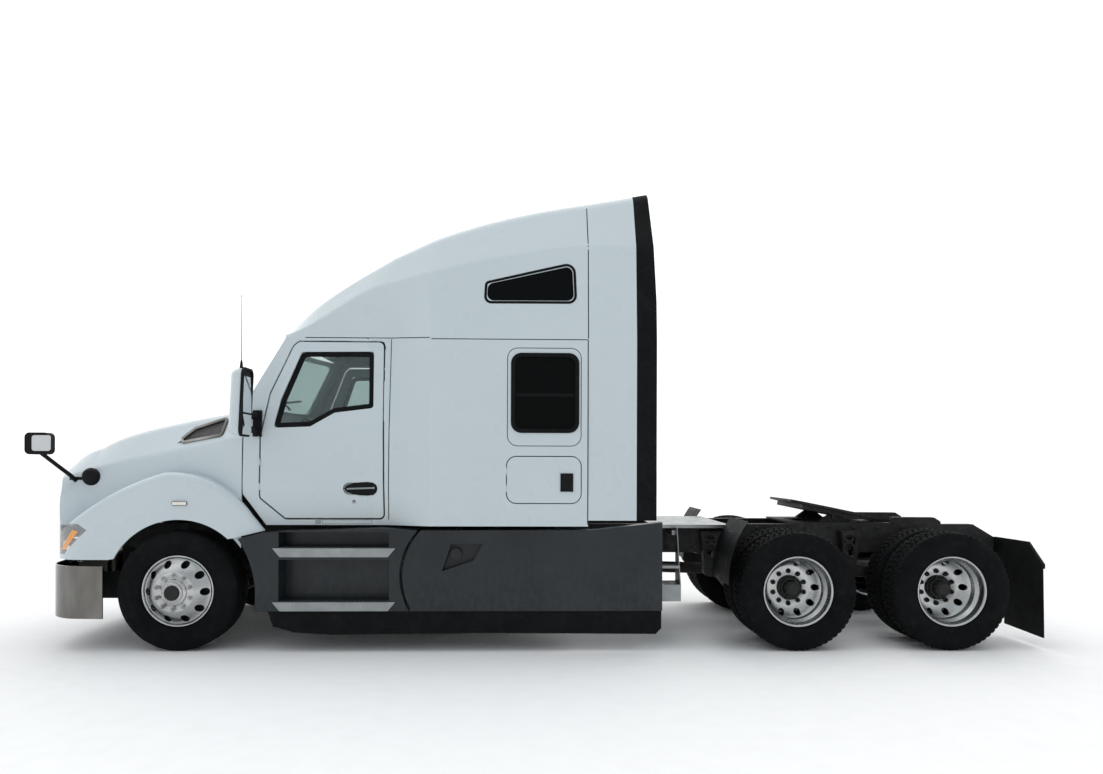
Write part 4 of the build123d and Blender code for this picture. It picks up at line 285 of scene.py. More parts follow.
def bright_metal(name, low, high, rough, spread, stretch=(1, 1, 1), grain=180.0, strength=0.08):
    look = Finish(name)
    look.set("Metallic", 1.0)
    look.link(look.between(look.noise(6.0, 7.0), low, high), look.shader.inputs["Base Color"])
    brushed = look.noise(grain, 4.0, look.scaled(stretch))
    look.rough(look.noise(11.0, 6.0), rough, rough + spread)
    look.bump(brushed, strength, 0.0006)
    return look.material


def rubber(name, low, high, rough, grain=300.0, strength=0.2, shine=0.25):
    look = Finish(name)
    look.set("Specular IOR Level", shine)
    base = look.between(look.noise(4.0, 7.0), low, high)
    dusty = look.value(look.noise(15.0, 8.0, roughness=0.7), 0.0, 0.5, 0.5, 0.75)
    look.dusted(dusty, base, tuple(c * 2.2 + 0.003 for c in high))
    look.rough(look.noise(9.0, 4.0), rough - 0.08, rough + 0.08)
    look.bump(look.noise(grain, 4.0), strength, 0.001)
    return look.material


def glass(name, tint, clear, rough=0.02, shine=0.5):
    look = Finish(name)
    deeper = tuple(c * 0.92 for c in tint)
    look.link(look.between(look.noise(0.8, 2.0), tint, deeper), look.shader.inputs["Base Color"])
    look.set("Transmission Weight", clear)
    look.set("IOR", 1.45)
    look.set("Specular IOR Level", shine)
    look.rough(look.noise(14.0, 5.0), rough, rough + 0.03, 0.4, 0.7)
    return look.material


def cloth(name, low, high):
    look = Finish(name)
    look.link(look.between(look.noise(30.0, 6.0), low, high), look.shader.inputs["Base Color"])
    look.set("Roughness", 0.9)
    look.set("Sheen Weight", 0.3)
    look.bump(look.bands("DIAGONAL", 150.0), 0.2, 0.001)
    return look.material


def lens(name, low, high):
    look = Finish(name)
    look.link(look.between(look.noise(40.0, 3.0), low, high), look.shader.inputs["Base Color"])
    look.set("Roughness", 0.08)
    look.set("Coat Weight", 1.0)
    look.bump(look.bands("X", 60.0), 0.3, 0.001)
    return look.material


def chrome():
    """Plated steel, with the brown and grey of the road round it painted into its colour as reflections."""
    look = Finish("chrome")
    look.set("Metallic", 1.0)
    # Painted reflections: upright blotches from dark brown-grey to pale grey in the base colour.
    bands = look.noise(2.6, 4.0, look.scaled((1.0, 1.0, 0.45)))
    look.colour(look.shader.inputs["Base Color"], bands,
                [(0.32, (0.10, 0.095, 0.088)), (0.50, (0.17, 0.165, 0.155)),
                 (0.62, (0.23, 0.225, 0.215)), (0.78, (0.40, 0.40, 0.39))])
    look.rough(look.noise(12.0, 5.0), 0.05, 0.13)
    look.bump(look.noise(2.5, 2.0), 0.25, 0.02)
    return look.material


def mesh_black():
    """Woven black mesh, with painted shade in the holes between its wires."""
    look = Finish("mesh_black")
    cells = look.add("ShaderNodeTexVoronoi")
    look.link(look.where, cells.inputs["Vector"])
    cells.inputs["Scale"].default_value = 90.0
    # The cell middles are painted near-black as shade in the holes; the raised cell edges are the wires.
    look.colour(look.shader.inputs["Base Color"], cells.outputs["Distance"],
                [(0.25, (0.004, 0.004, 0.004)), (0.6, (0.05, 0.05, 0.052))])
    look.set("Roughness", 0.5)
    look.bump(cells.outputs["Distance"], 0.6, 0.004)
    return look.material


def plain_name(material):
    """The material's name without the number that Blender adds to a second one of that name."""
    return material.name.split(".")[0]


MATERIALS = {plain_name(material): material for material in (
    paint_white(),
    paint_charcoal(),
    dark_metal("frame_black", (0.008, 0.008, 0.009), (0.02, 0.02, 0.021), (0.055, 0.050, 0.044), 0.55, 160.0),
    dark_metal("axle_iron", (0.014, 0.012, 0.011), (0.035, 0.028, 0.024), (0.09, 0.07, 0.055), 0.62, 90.0),
    bright_metal("rim_aluminium", (0.40, 0.41, 0.41), (0.52, 0.53, 0.53), 0.22, 0.08, strength=0.02),
    bright_metal("trim_aluminium", (0.24, 0.255, 0.26), (0.33, 0.345, 0.35), 0.26, 0.2, (1, 12, 12)),
    chrome(),
    rubber("tyre", (0.0025, 0.003, 0.0034), (0.0055, 0.006, 0.0065), 0.85, shine=0.12),
    rubber("rubber_black", (0.0025, 0.003, 0.0034), (0.005, 0.0055, 0.006), 0.7, shine=0.14),
    rubber("plastic_black", (0.003, 0.0035, 0.004), (0.006, 0.0065, 0.007), 0.55, 500.0, 0.12, 0.16),
    glass("glass_clear", (0.50, 0.60, 0.59), 0.94),
    glass("glass_dark", (0.002, 0.003, 0.003), 0.0, 0.04, 0.08),
    glass("lamp_lens", (0.86, 0.88, 0.90), 0.75),
    lens("lens_red", (0.35, 0.01, 0.01), (0.5, 0.02, 0.015)),
    lens("lens_amber", (0.75, 0.25, 0.02), (0.85, 0.36, 0.05)),
    lens("lens_clear", (0.75, 0.74, 0.66), (0.85, 0.84, 0.78)),
    rubber("cabin_grey", (0.05, 0.05, 0.052), (0.085, 0.085, 0.088), 0.7, 600.0, 0.15),
    cloth("seat_cloth", (0.030, 0.032, 0.036), (0.055, 0.058, 0.063)),
    cloth("bedding", (0.26, 0.27, 0.30), (0.36, 0.37, 0.40)),
    bright_metal("nut_steel", (0.30, 0.30, 0.30), (0.50, 0.50, 0.50), 0.18, 0.2, grain=300.0),
    dark_metal("hub_black", (0.006, 0.006, 0.0062), (0.013, 0.013, 0.013), (0.035, 0.033, 0.030), 0.42, 120.0,
               patch=14.0),
    bright_metal("mirror_glass", (0.80, 0.82, 0.83), (0.86, 0.88, 0.89), 0.01, 0.02, strength=0.0),
    mesh_black(),
)}


# --------------------------------------------------------------------- mesh building
@contextmanager
def edited(mesh):
    bm = bmesh.new()
    bm.from_mesh(mesh)
    yield bm
    bm.to_mesh(mesh)
    bm.free()


def weld(bm, gap=1e-6):
    bmesh.ops.remove_doubles(bm, verts=bm.verts, dist=gap)
    bmesh.ops.recalc_face_normals(bm, faces=bm.faces)


def shade(bm, smooth, sharp):
    """Smooth or flat faces; on smooth ones, edges that turn by more than sharp degrees stay sharp."""
    for face in bm.faces:
        face.smooth = smooth
    for edge in bm.edges if smooth else ():
        if len(edge.link_faces) == 2 and edge.calc_face_angle(0) > math.radians(sharp):
            edge.smooth = False


def turns(count, phase=0.0):
    """Angles that share out a full turn."""
    return [2 * math.pi * (k + phase) / count for k in range(count)]


def spoke(turn):
    """The unit vector square to the axles, at an angle from straight up."""
    return Vector((math.sin(turn), 0, math.cos(turn)))


class Shape:
    """Collects the vertices and faces of one piece."""

    def __init__(self):
        self.verts, self.faces = [], []

    def grid(self, rows, close_u=False, close_v=False):
        """Quads over rows of points; u runs along a row, v from row to row."""
        base, n, m = len(self.verts), len(rows[0]), len(rows)
        for row in rows:
            self.verts += [Vector(p) for p in row]
        for j in range(m if close_v else m - 1):
            for i in range(n if close_u else n - 1):
                a, b = j * n + i, j * n + (i + 1) % n
                c, d = (j + 1) % m * n + (i + 1) % n, (j + 1) % m * n + i
                self.faces.append([base + k for k in (a, b, c, d)])

    def cap(self, points):
        base = len(self.verts)
        self.verts += [Vector(p) for p in points]
        self.faces.append(list(range(base, base + len(points))))

    def lathe(self, centre, profile, segments, closed=False, axis=Vector((0, 1, 0)), start=Vector((0, 0, 1))):
        """Turns (along the axis, radius) points, in metres, round an axis through centre."""
        other = axis.cross(start)
        rows = []
        for turn in turns(segments):
            ray = start * math.cos(turn) + other * math.sin(turn)
            rows.append([centre + axis * a + ray * r for a, r in profile])
        self.grid(rows, close_u=closed, close_v=True)

    def rod(self, points, radius, segments, flat=1.0):
        """A round bar along a line of points, capped at both ends."""
        points = [Vector(p) for p in points]
        rows = []
        for i, p in enumerate(points):
            along = (points[min(i + 1, len(points) - 1)] - points[max(i - 1, 0)]).normalized()
            side = along.cross(Vector((0, 0, 1)))
            side = (side if side.length > 1e-4 else along.cross(Vector((1, 0, 0)))).normalized()
            over = side.cross(along)
            r = radius[i] if isinstance(radius, (list, tuple)) else radius
            rows.append([p + side * r * math.cos(t) + over * r * flat * math.sin(t) for t in turns(segments)])
        self.grid(rows, close_u=True)
        self.cap(rows[0])
        self.cap(rows[-1])

    def box(self, low, high, bevel):
        """A block with softened edges."""
        bm = bmesh.new()
        bmesh.ops.create_cube(bm, size=1.0)
        size = Vector(high) - Vector(low)
        mid = (Vector(high) + Vector(low)) / 2
        for v in bm.verts:
            v.co = mid + Vector((v.co.x * size.x, v.co.y * size.y, v.co.z * size.z))
        bmesh.ops.bevel(bm, geom=bm.edges[:], offset=min(bevel, min(size) * 0.45), segments=2,
                        affect="EDGES", profile=0.5)
        base = len(self.verts)
        bm.verts.index_update()
        self.verts += [v.co.copy() for v in bm.verts]
        self.faces += [[base + v.index for v in f.verts] for f in bm.faces]
        bm.free()

    def nut(self, centre, axis, radius, height, washer=True):
        """A hexagon nut on its flange, with the stud's end."""
        start = axis.orthogonal().normalized()
        r, h = radius, height
        if washer:
            flange = [(0, r * 1.3), (0.002, r * 1.3), (0.003, r * 1.05), (0.003, 0.0)]
            self.lathe(centre, flange, 16, axis=axis, start=start)
        body = [(0.002, r), (h * 0.9, r), (h, r * 0.86), (h, r * 0.5)]
        self.lathe(centre, body, 6, axis=axis, start=start)
        stud = [(h * 0.8, r * 0.52), (h * 1.35, r * 0.5), (h * 1.45, r * 0.4), (h * 1.45, 0.0)]
        self.lathe(centre, stud, 10, axis=axis, start=start)

    def nut_ring(self, centre, axis, count, ring, radius, height, phase=0.0, washer=True):
        for turn in turns(count, phase):
            self.nut(centre + spoke(turn) * ring, axis, radius, height, washer)

    def mesh(self, name):
        mesh = bpy.data.meshes.new(name)
        mesh.from_pydata([tuple(v) for v in self.verts], [], self.faces)
        return mesh

    def made(self, name, body, finish, smooth=True, sharp=35.0):
        """The piece itself, riding on a body, with its finish."""
        mesh = self.mesh(name)
        mesh.validate()
        with edited(mesh) as bm:
            weld(bm)
            shade(bm, smooth, sharp)
        obj = linked(name, mesh)
        obj.data.materials.append(MATERIALS[finish])
        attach(obj, body)
        return obj


def rounded(points, radius, arc=6):
    """A closed polygon in the plane with its corners rounded."""
    out, n = [], len(points)
    for i, p in enumerate(points):
        p = Vector(p)
        r = radius[i] if isinstance(radius, (list, tuple)) else radius
        a, b = Vector(points[i - 1]) - p, Vector(points[(i + 1) % n]) - p
        half = a.angle(b) / 2
        cut = min(r / math.tan(half), a.length * 0.48, b.length * 0.48)
        r = cut * math.tan(half)
        start, end = p + a.normalized() * cut, p + b.normalized() * cut
        middle = p + (a.normalized() + b.normalized()).normalized() * (r / math.sin(half))
        u, v = start - middle, end - middle
        whole = u.angle(v)
        for k in range(arc + 1):
            t = k / arc
            out.append(middle + (u * math.sin((1 - t) * whole) + v * math.sin(t * whole)) / math.sin(whole))
    return out


def rectangle(x0, z0, x1, z1):
    return [(x0, z0), (x0, z1), (x1, z1), (x1, z0)]


def divided(points, step, closed):
    """A line of points with no gap longer than step."""
    out, n = [], len(points)
    for i in range(n if closed else n - 1):
        a, b = Vector(points[i]), Vector(points[(i + 1) % n])
        count = max(1, int(math.ceil((b - a).length / step)))
        out += [a.lerp(b, k / count) for k in range(count)]
    if not closed:
        out.append(Vector(points[-1]))
    return out


def skin(*names):
    """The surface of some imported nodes, for setting trim onto it."""
    verts, faces = [], []
    for name in names:
        base = len(verts)
        verts += [v.co.copy() for v in NODES[name].data.vertices]
        faces += [[base + i for i in p.vertices] for p in NODES[name].data.polygons]
    return BVHTree.FromPolygons(verts, faces)


def on_flank(tree, x, z, side):
    """Where the flank stands at x and z (millimetres), and its outward normal."""
    way = Vector((0, -side, 0))
    hit, normal, _, _ = tree.ray_cast(at(x, side * 2500, z), way)
    if hit is None:
        hit, normal, _, _ = tree.find_nearest(at(x, side * 1200, z))
    if normal.dot(way) > 0:
        normal = -normal
    return hit, normal


def trim(shape, path, normals, width, height, closed=True, sink=0.002):
    """A rounded strip along a path, standing height above the surface."""
    n, rows = len(path), []
    half = width / 2
    for i, (p, up) in enumerate(zip(path, normals)):
        before = path[i - 1] if closed or i else path[0]
        after = path[(i + 1) % n] if closed or i < n - 1 else path[-1]
        along = (after - before).normalized()
        across = up.cross(along).normalized()
        rows.append([p + across * half - up * sink, p + across * half + up * height * 0.55,
                     p + across * half * 0.72 + up * height, p - across * half * 0.72 + up * height,
                     p - across * half + up * height * 0.55, p - across * half - up * sink])
    shape.grid(rows, close_v=closed)
    if not closed:
        shape.cap(rows[0])
        shape.cap(rows[-1])


def flank_trim(shape, tree, outline, side, width, height, closed=True, step=60.0):
    """A strip along an outline given in the side view, set onto the flank."""
    spots = [on_flank(tree, x, z, side) for x, z in divided(outline, step, closed)]
    trim(shape, [hit for hit, _ in spots], [normal for _, normal in spots], width, height, closed)


def flank_patch(shape, tree, corners, side, proud, across, up):
    """A patch on the flank between corners at bottom front, bottom rear, top rear and top front."""
    a, b, c, d = [Vector(p) for p in corners]
    rows = []
    for j in range(up + 1):
        row = []
        for i in range(across + 1):
            u = i / across
            p = a.lerp(b, u).lerp(d.lerp(c, u), j / up)
            hit, normal = on_flank(tree, p.x, p.y, side)
            row.append(hit + normal * proud)
        rows.append(row)
    shape.grid(rows)


# ---------------------------------------------------------------------------- wheels
# Half of a tyre's section from the bead to the shoulder, in millimetres: (from its middle, radius).
TYRE_WALL = [(108, 288), (113, 291), (114, 300), (121, 309), (123, 313), (127, 314), (133, 326),
             (140, 350), (144, 372), (145.5, 374), (147.5, 392), (148, 408), (147.5, 426),
             (144.5, 444), (144.8, 447), (140, 464), (139, 467), (135.5, 478)]
STEER_SHOULDER = [(132, 486), (126, 494), (117, 500)]
DRIVE_SHOULDER = [(133, 484), (129, 492), (122, 499)]
TYRE_SEGMENTS = 240


def tyre(shape, x, middle, drive):
    """One tyre; the tread is cut into ribs on the steered axle and into lugs on the driven ones."""
    wall = TYRE_WALL + (DRIVE_SHOULDER if drive else STEER_SHOULDER)
    half = 121.0 if drive else 117.0
    cuts = (-62, -21, 21, 62) if drive else (-68, -24, 24, 68)
    edges = [c + s for c in cuts for s in (-5.5, -4, 4, 5.5)]
    centre = at(x, middle, HUB_Z)
    rows = []
    for i, turn in enumerate(turns(TYRE_SEGMENTS)):
        ray = spoke(turn)
        notch = drive and i % 4 == 3
        row = [(a, r - 9.0 if notch and r > 483 else r) for a, r in wall]
        points = [(-a, r) for a, r in row]
        for a in edges:
            depth = 0.0
            if min(abs(a - c) for c in cuts) < 4.5:
                depth = 13.0
            elif drive:
                # Each ring of lugs is turned a step from the one inside it.
                shift = sum(abs(a) >= bound for bound in (24, 64))
                depth = 11.0 if (i + shift) % 4 == 3 else 0.0
            points.append((a, TREAD_RADIUS - 5.0 * (abs(a) / half) ** 2.2 - depth))
        points += [(a, r) for a, r in reversed(row)]
        rows.append([centre + Vector((0, a / 1000, 0)) + ray * (r / 1000) for a, r in points])
    shape.grid(rows, close_u=True, close_v=True)


# Rims, in millimetres: (outboard of the flange, radius).
RIM_SECTION = [(-1, 298.5), (0.5, 296), (0.5, 290), (-2, 286), (-9, 280), (-30, 276), (-70, 274),
               (-98, 250), (-152, 250), (-186, 274), (-238, 277), (-247, 284), (-250, 291), (-249, 298),
               (-246, 299), (-239, 298.5), (-238, 286), (-186, 283), (-150, 259), (-104, 259),
               (-68, 283), (-12, 286), (-11, 298.5), (-6, 299)]
STEER_DISC = [(-34, 277), (-9, 275), (-5, 262), (4, 250), (22, 232), (44, 208), (60, 186), (68, 172),
              (71, 167), (73, 164), (73, 116), (75, 112), (84, 108), (90, 98), (92, 88), (92, 60)]
# The driven discs are given outboard of the plane where the twins meet.
DRIVE_DISC = [(a - (DRIVE_FLANGE_Y - DISC_JOINT_Y), r)
              for a, r in [(96, 280), (84, 262), (60, 240), (40, 214), (27, 192), (25, 184), (26, 118),
                           (28, 112), (30, 100)]]
STEER_HUB = [(26, 100), (-183, 100), (-183, 62), (26, 62)]
STEER_DRUM = [(-70, 90), (-70, 205), (-215, 205), (-215, 190), (-84, 190), (-84, 90)]
DISC_THICKNESS = 13
HAND_HOLES = 10


def rim_shape(hub, out, flange, disc, hole_ring, hole, inner=False):
    """A disc wheel: barrel, lip and pierced disc; with inner, a second barrel and disc inboard."""
    shape = Shape()

    def turned(profile, origin=flange):
        points = [((origin + a) / 1000, r / 1000) for a, r in profile]
        shape.lathe(hub, points, 120, closed=True, axis=out)

    turned(RIM_SECTION)
    if inner:
        # A known fault: the inner barrel lies 250 mm too far inboard.
        turned(RIM_SECTION, 2 * DISC_JOINT_Y - flange)
    back = []
    for k, (a, r) in enumerate(disc):
        before, after = disc[max(k - 1, 0)], disc[min(k + 1, len(disc) - 1)]
        run = Vector((after[0] - before[0], after[1] - before[1])).normalized()
        back.append((a + run.y * DISC_THICKNESS, r - run.x * DISC_THICKNESS))
    section = disc + back[::-1]
    turned(section)
    if inner:
        turned([(2 * (DISC_JOINT_Y - flange) - a, r) for a, r in section])
    else:
        turned(STEER_HUB)
        turned(STEER_DRUM)
    mesh = shape.mesh("rim")
    obj = linked("rim", mesh)
    with edited(mesh) as bm:
        bmesh.ops.recalc_face_normals(bm, faces=bm.faces)
    reach = (-340, -170) if inner else (-60, 60)
    obj.data = drilled(obj, hand_holes(hub, out, flange, hole_ring, hole, reach))
    obj.data.materials.clear()
    obj.data.materials.append(MATERIALS["rim_aluminium"])
    with edited(obj.data) as bm:
        shade(bm, True, 30)
    return obj


def hand_holes(hub, out, flange, ring, radius, reach):
    """Pegs through the disc, half a step from the nuts; reach is their ends, outboard of the flange."""
    pegs = Shape()
    for turn in turns(HAND_HOLES, 0.5):
        spot = hub + spoke(turn) * (ring / 1000)
        ends = [[spot + out * ((flange + a) / 1000) + spoke(t) * (radius / 1000) for t in turns(24)]
                for a in reach]
        pegs.grid(ends, close_u=True)
        pegs.cap(ends[0])
        pegs.cap(ends[1])
    mesh = pegs.mesh("drill")
    with edited(mesh) as bm:
        weld(bm)
    return linked("drill", mesh)


def drilled(obj, tool):
    """The mesh of obj with the tool's pegs cut out of it; the tool is used up."""
    cut = obj.modifiers.new("holes", "BOOLEAN")
    cut.operation = "DIFFERENCE"
    cut.object = tool
    cut.solver = "EXACT"
    cut.use_self = True
    done = bpy.data.meshes.new_from_object(obj.evaluated_get(bpy.context.evaluated_depsgraph_get()))
    obj.modifiers.clear()
    bpy.data.objects.remove(tool)
    return done


def steered_wheel(name, side):
    body = f"steer_wheel_{name}"
    out = Vector((0, side, 0))
    hub = at(0, 0, HUB_Z)

    def outboard(reach):
        return hub + out * (STEER_FLANGE_Y + reach) / 1000

    tread = Shape()
    tyre(tread, 0, side * STEER_TYRE_Y, False)
    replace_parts(tread.made(f"steer_tread_{name}", body, "tyre", sharp=30), f"steer_tyre_{name}")
    rim = rim_shape(hub, out, STEER_FLANGE_Y, STEER_DISC, 236, 32)
    rim.name = f"steer_wheel_disc_{name}"
    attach(rim, body)
    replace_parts(rim, f"steer_rim_{name}")
    nuts = Shape()
    nuts.nut_ring(outboard(STEER_FACE), out, STUDS, STUD_RING, 0.0165, 0.026)
    nuts.made(f"steer_nuts_{name}", body, "nut_steel")
    drum = Shape()
    drum.lathe(outboard(0), [(-0.048, 0.120), (-0.048, 0.258), (-0.054, 0.262), (-0.060, 0.258),
                             (-0.060, 0.120)], 96, closed=True, axis=out)
    drum.made(f"steer_drum_{name}", body, "hub_black")
    ring = Shape()
    ring.lathe(outboard(92), [(-0.01, 0.086), (0.012, 0.086), (0.018, 0.080), (0.018, 0.066),
                              (0.014, 0.060), (0.014, 0.0)], 48, axis=out)
    ring.nut_ring(outboard(108), out, 6, 0.073, 0.0065, 0.006, phase=0.5, washer=False)
    ring.made(f"steer_cap_ring_{name}", body, "nut_steel")
    cap = Shape()
    cap.lathe(outboard(104), [(0, 0.061), (0.010, 0.061), (0.014, 0.057), (0.012, 0.040),
                              (0.014, 0.020), (0.014, 0.0)], 40, axis=out)
    cap.made(f"steer_cap_{name}", body, "hub_black")


def driven_wheels(axle, x, name, side):
    """Twin wheels on one hub."""
    body = f"{axle}_wheel_{name}"
    out = Vector((0, side, 0))
    hub = at(x, 0, HUB_Z)
    joint = hub + out * DISC_JOINT_Y / 1000
    tread = Shape()
    tyre(tread, x, side * OUTER_TYRE_Y, True)
    tyre(tread, x, side * (OUTER_TYRE_Y - TWIN_SPACING), True)
    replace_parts(tread.made(f"{axle}_tread_{name}", body, "tyre", sharp=30), f"{axle}_tyres_{name}")
    rims = rim_shape(hub, out, DRIVE_FLANGE_Y, DRIVE_DISC, 224, 29, inner=True)
    rims.name = f"{axle}_wheel_discs_{name}"
    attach(rims, body)
    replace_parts(rims, f"{axle}_rims_{name}")
    nuts = Shape()
    nuts.nut_ring(hub + out * (DISC_JOINT_Y + 26) / 1000, out, STUDS, STUD_RING, 0.0170, 0.026)
    nuts.made(f"{axle}_nuts_{name}", body, "hub_black")
    centre = Shape()
    centre.lathe(joint, [(0.010, 0.106), (0.062, 0.108), (0.068, 0.104), (0.070, 0.092), (0.088, 0.090),
                         (0.092, 0.086), (0.094, 0.074), (0.140, 0.068), (0.152, 0.062), (0.158, 0.050),
                         (0.1645, 0.048), (0.1645, 0.0)], 48, axis=out)
    centre.nut_ring(hub + out * (DISC_JOINT_Y + 70) / 1000, out, 8, 0.094, 0.0125, 0.022, phase=0.5)
    # Hub and drum behind the discs.
    centre.lathe(joint, [(-0.052, 0.110), (-0.052, 0.226), (-0.060, 0.230), (-0.066, 0.226),
                         (-0.066, 0.110)], 64, closed=True, axis=out)
    centre.lathe(joint, [(-0.19, 0.056), (-0.19, 0.100), (-0.045, 0.100), (-0.045, 0.212), (-0.25, 0.212),
                         (-0.25, 0.196)], 48, axis=out)
    centre.made(f"{axle}_hub_{name}", body, "hub_black")


def wheels():
    for name, side in SIDES.items():
        steered_wheel(name, side)
        for n, x in enumerate(DRIVE_X, 1):
            driven_wheels(f"drive{n}", x, name, side)


# ------------------------------------------------------------------------- body trim
def seams(name, side, shell, roof):
    """The panel round the sleeper's window, and the joints between cab, sleeper, roof and extenders."""
    shape = Shape()
    flank_trim(shape, shell, rounded(rectangle(2759, 1732, 3379, 2556), 85), side, 0.006, 0.0008)
    extender_joint = [(3437, 1070), (3437, 2630)]
    flank_trim(shape, shell, extender_joint, side, 0.008, 0.001, closed=False)
    upper_joint = [(3440, 2640), (3440, 3100), (3440, 3440), (3440, 3885)]
    flank_trim(shape, roof, upper_joint, side, 0.008, 0.001, closed=False)
    flank_trim(shape, shell, [(2120, 2629), (3434, 2629)], side, 0.007, 0.001, closed=False)
    flank_trim(shape, shell, [(1744, 2660), (1744, 1100)], side, 0.008, 0.001, closed=False)
    shape.made(f"body_seams_{name}", "chassis", "rubber_black")


def sleeper_windows(name, side, shell, roof):
    lower = Shape()
    flank_trim(lower, shell, rounded(rectangle(2806, 1859, 3345, 2497), 70), side, 0.036, 0.012)
    lower.made(f"sleeper_window_rubber_{name}", "chassis", "rubber_black")
    sash = Shape()
    sash.box(at(2826, side * 1166, 2150), at(3325, side * 1178, 2176), 0.003)
    sash.made(f"sleeper_window_sash_{name}", "chassis", "rubber_black")
    upper = Shape()
    outline = rounded([(2566, 2948), (2574, 3120), (3320, 3290), (3334, 2948)], [50, 30, 70, 60])
    flank_trim(upper, roof, outline, side, 0.022, 0.004, step=40)
    upper.made(f"upper_window_rubber_{name}", "chassis", "rubber_black")


def baggage_latch(name, side):
    """A black cup with a paddle."""
    latch = Shape()
    latch.box(at(3206, side * 1197.5, 1348), at(3314, side * 1204, 1502), 0.012)
    latch.box(at(3220, side * 1203, 1372), at(3300, side * 1206, 1436), 0.01)
    latch.box(at(3226, side * 1203, 1446), at(3294, side * 1214, 1488), 0.008)
    latch.made(f"baggage_latch_{name}", f"baggage_door_{name}", "plastic_black")


def door_handle(name, side, shell):
    """A leaf-shaped black cup and a bright pull across it."""
    x, z = 1504, 1366
    leaf = [(-138, 0), (-112, 28), (-60, 48), (0, 57), (62, 60), (112, 54), (134, 34), (138, 0),
            (134, -34), (112, -54), (62, -60), (0, -57), (-60, -48), (-112, -28)]
    inmost = min(abs(on_flank(shell, x + dx * 1.2, z + dz * 1.2, side)[0].y) for dx, dz in leaf)
    y = side * (max(inmost * 1000, 1066) + 5)
    outer = [at(x + dx, y, z + dz) for dx, dz in leaf]
    inner = [at(x + dx * 0.93, y + side * 5, z + dz * 0.9) for dx, dz in leaf]
    cup = Shape()
    cup.grid([[v - Vector((0, side * 0.014, 0)) for v in outer], outer, inner], close_u=True)
    cup.cap(inner)
    cup.made(f"door_handle_cup_{name}", f"door_{name}", "plastic_black")
    path = []
    for k in range(11):
        t = k / 10
        path.append(at(1392 + 236 * t, y + side * (9 + 10 * math.sin(math.pi * t)), 1364 + 8 * t))
    pull = Shape()
    pull.rod(path, [0.006] + [0.009] * 9 + [0.013], 12)
    pull.made(f"door_handle_{name}", f"door_{name}", "trim_aluminium")


def door_glass_rubber(name, side):
    outline = rounded([(784, 1903), (838, 2125), (990, 2526), (1577, 2531), (1585, 2075), (1271, 2034),
                       (1068, 1916)], [22, 60, 60, 40, 30, 60, 60])
    band = Shape()
    flank_trim(band, skin(f"door_glass_{name}"), outline, side, 0.044, 0.012, step=40)
    band.made(f"door_glass_rubber_{name}", f"door_{name}", "rubber_black")


def cab_corner(name, side):
    """Plates over the hole that the solids have between door, roof and sleeper, one on each body."""
    door = f"door_{name}"
    faces = {"chassis": [(1545, 2670), (1742, 2670), (1742, 2540), (1706, 2566), (1693, 2600),
                         (1684, 2628), (1662, 2646), (1600, 2648), (1545, 2648)],
             door: [(1576, 2632), (1640, 2632), (1662, 2624), (1675, 2604), (1678, 2572), (1650, 2590),
                    (1606, 2612)]}
    for body, face in faces.items():
        # The cab's side leans in by 110 mm over the 798 mm below its top edge.
        front = [at(x, side * (945.6 + (2668 - z) * 110 / 798), z) for x, z in face]
        rear = [v - Vector((0, side * 0.045, 0)) for v in front]
        corner = Shape()
        corner.grid([front, rear], close_u=True)
        corner.cap(front)
        corner.cap(rear)
        corner.made(f"cab_corner_{body}_{name}", body, "paint_white", smooth=False)


def roof_seam(name, side):
    """The joint over the door and along the flare."""
    seam = Shape()
    both = skin("sleeper_shell", "cab_shell", "roof_cap")
    flank_trim(seam, both, [(1000, 2672), (1740, 2672), (2106, 2640)], side, 0.007, 0.0012, closed=False)
    seam.made(f"roof_seam_{name}", "chassis", "rubber_black")


def locks(name, side, shell):
    """The sill's recess with its lock, and the door's keyhole."""
    sill = Shape()
    flank_trim(sill, skin("cab_shell"), rounded(rectangle(1180, 1066, 1600, 1098), 10), side, 0.004, 0.0010)
    sill.box(at(1120, side * 1050, 1066), at(1164, side * 1056.5, 1104), 0.003)
    sill.made(f"sill_lock_{name}", "chassis", "trim_aluminium")
    lock = Shape()
    spot, normal = on_flank(shell, 1450, 1256, side)
    lock.lathe(spot, [(-0.002, 0.015), (0.003, 0.015), (0.004, 0.012), (0.004, 0.0)], 20, axis=normal)
    lock.made(f"door_lock_{name}", f"door_{name}", "chrome")


def fender_marker(name, side, hood):
    bezel = Shape()
    flank_trim(bezel, hood, rounded(rectangle(-34, 1226, 86, 1258), 10), side, 0.008, 0.010, step=20)
    bezel.made(f"marker_bezel_{name}", "hood", "chrome")
    glow = Shape()
    flank_patch(glow, hood, [(-32, 1229), (84, 1229), (84, 1255), (-32, 1255)], side, 0.011, 12, 4)
    glow.made(f"marker_lens_{name}", "hood", "lens_clear")


def hood_vent(name, side, hood):
    """A bright frame round a dark grid."""
    frame_ring = rounded([(-128, 1744), (14, 1882), (292, 1974), (298, 1818)], [26, 40, 24, 24])
    vent = Shape()
    flank_trim(vent, hood, frame_ring, side, 0.030, 0.014, step=25)
    vent.made(f"vent_frame_{name}", "hood", "chrome")
    grid = Shape()
    flank_patch(grid, hood, [(-118, 1750), (286, 1828), (282, 1962), (22, 1874)], side, 0.002, 40, 12)
    grid.made(f"vent_grid_{name}", "hood", "mesh_black")


def body_trim():
    shell = skin("sleeper_shell", "cab_shell", "door_left", "door_right", "baggage_door_left",
                 "baggage_door_right")
    roof = skin("roof_cap", "side_extenders")
    hood = skin("hood")
    for name, side in SIDES.items():
        seams(name, side, shell, roof)
        sleeper_windows(name, side, shell, roof)
        baggage_latch(name, side)
        door_handle(name, side, shell)
        door_glass_rubber(name, side)
        cab_corner(name, side)
        roof_seam(name, side)
        locks(name, side, shell)
        fender_marker(name, side, hood)
        hood_vent(name, side, hood)


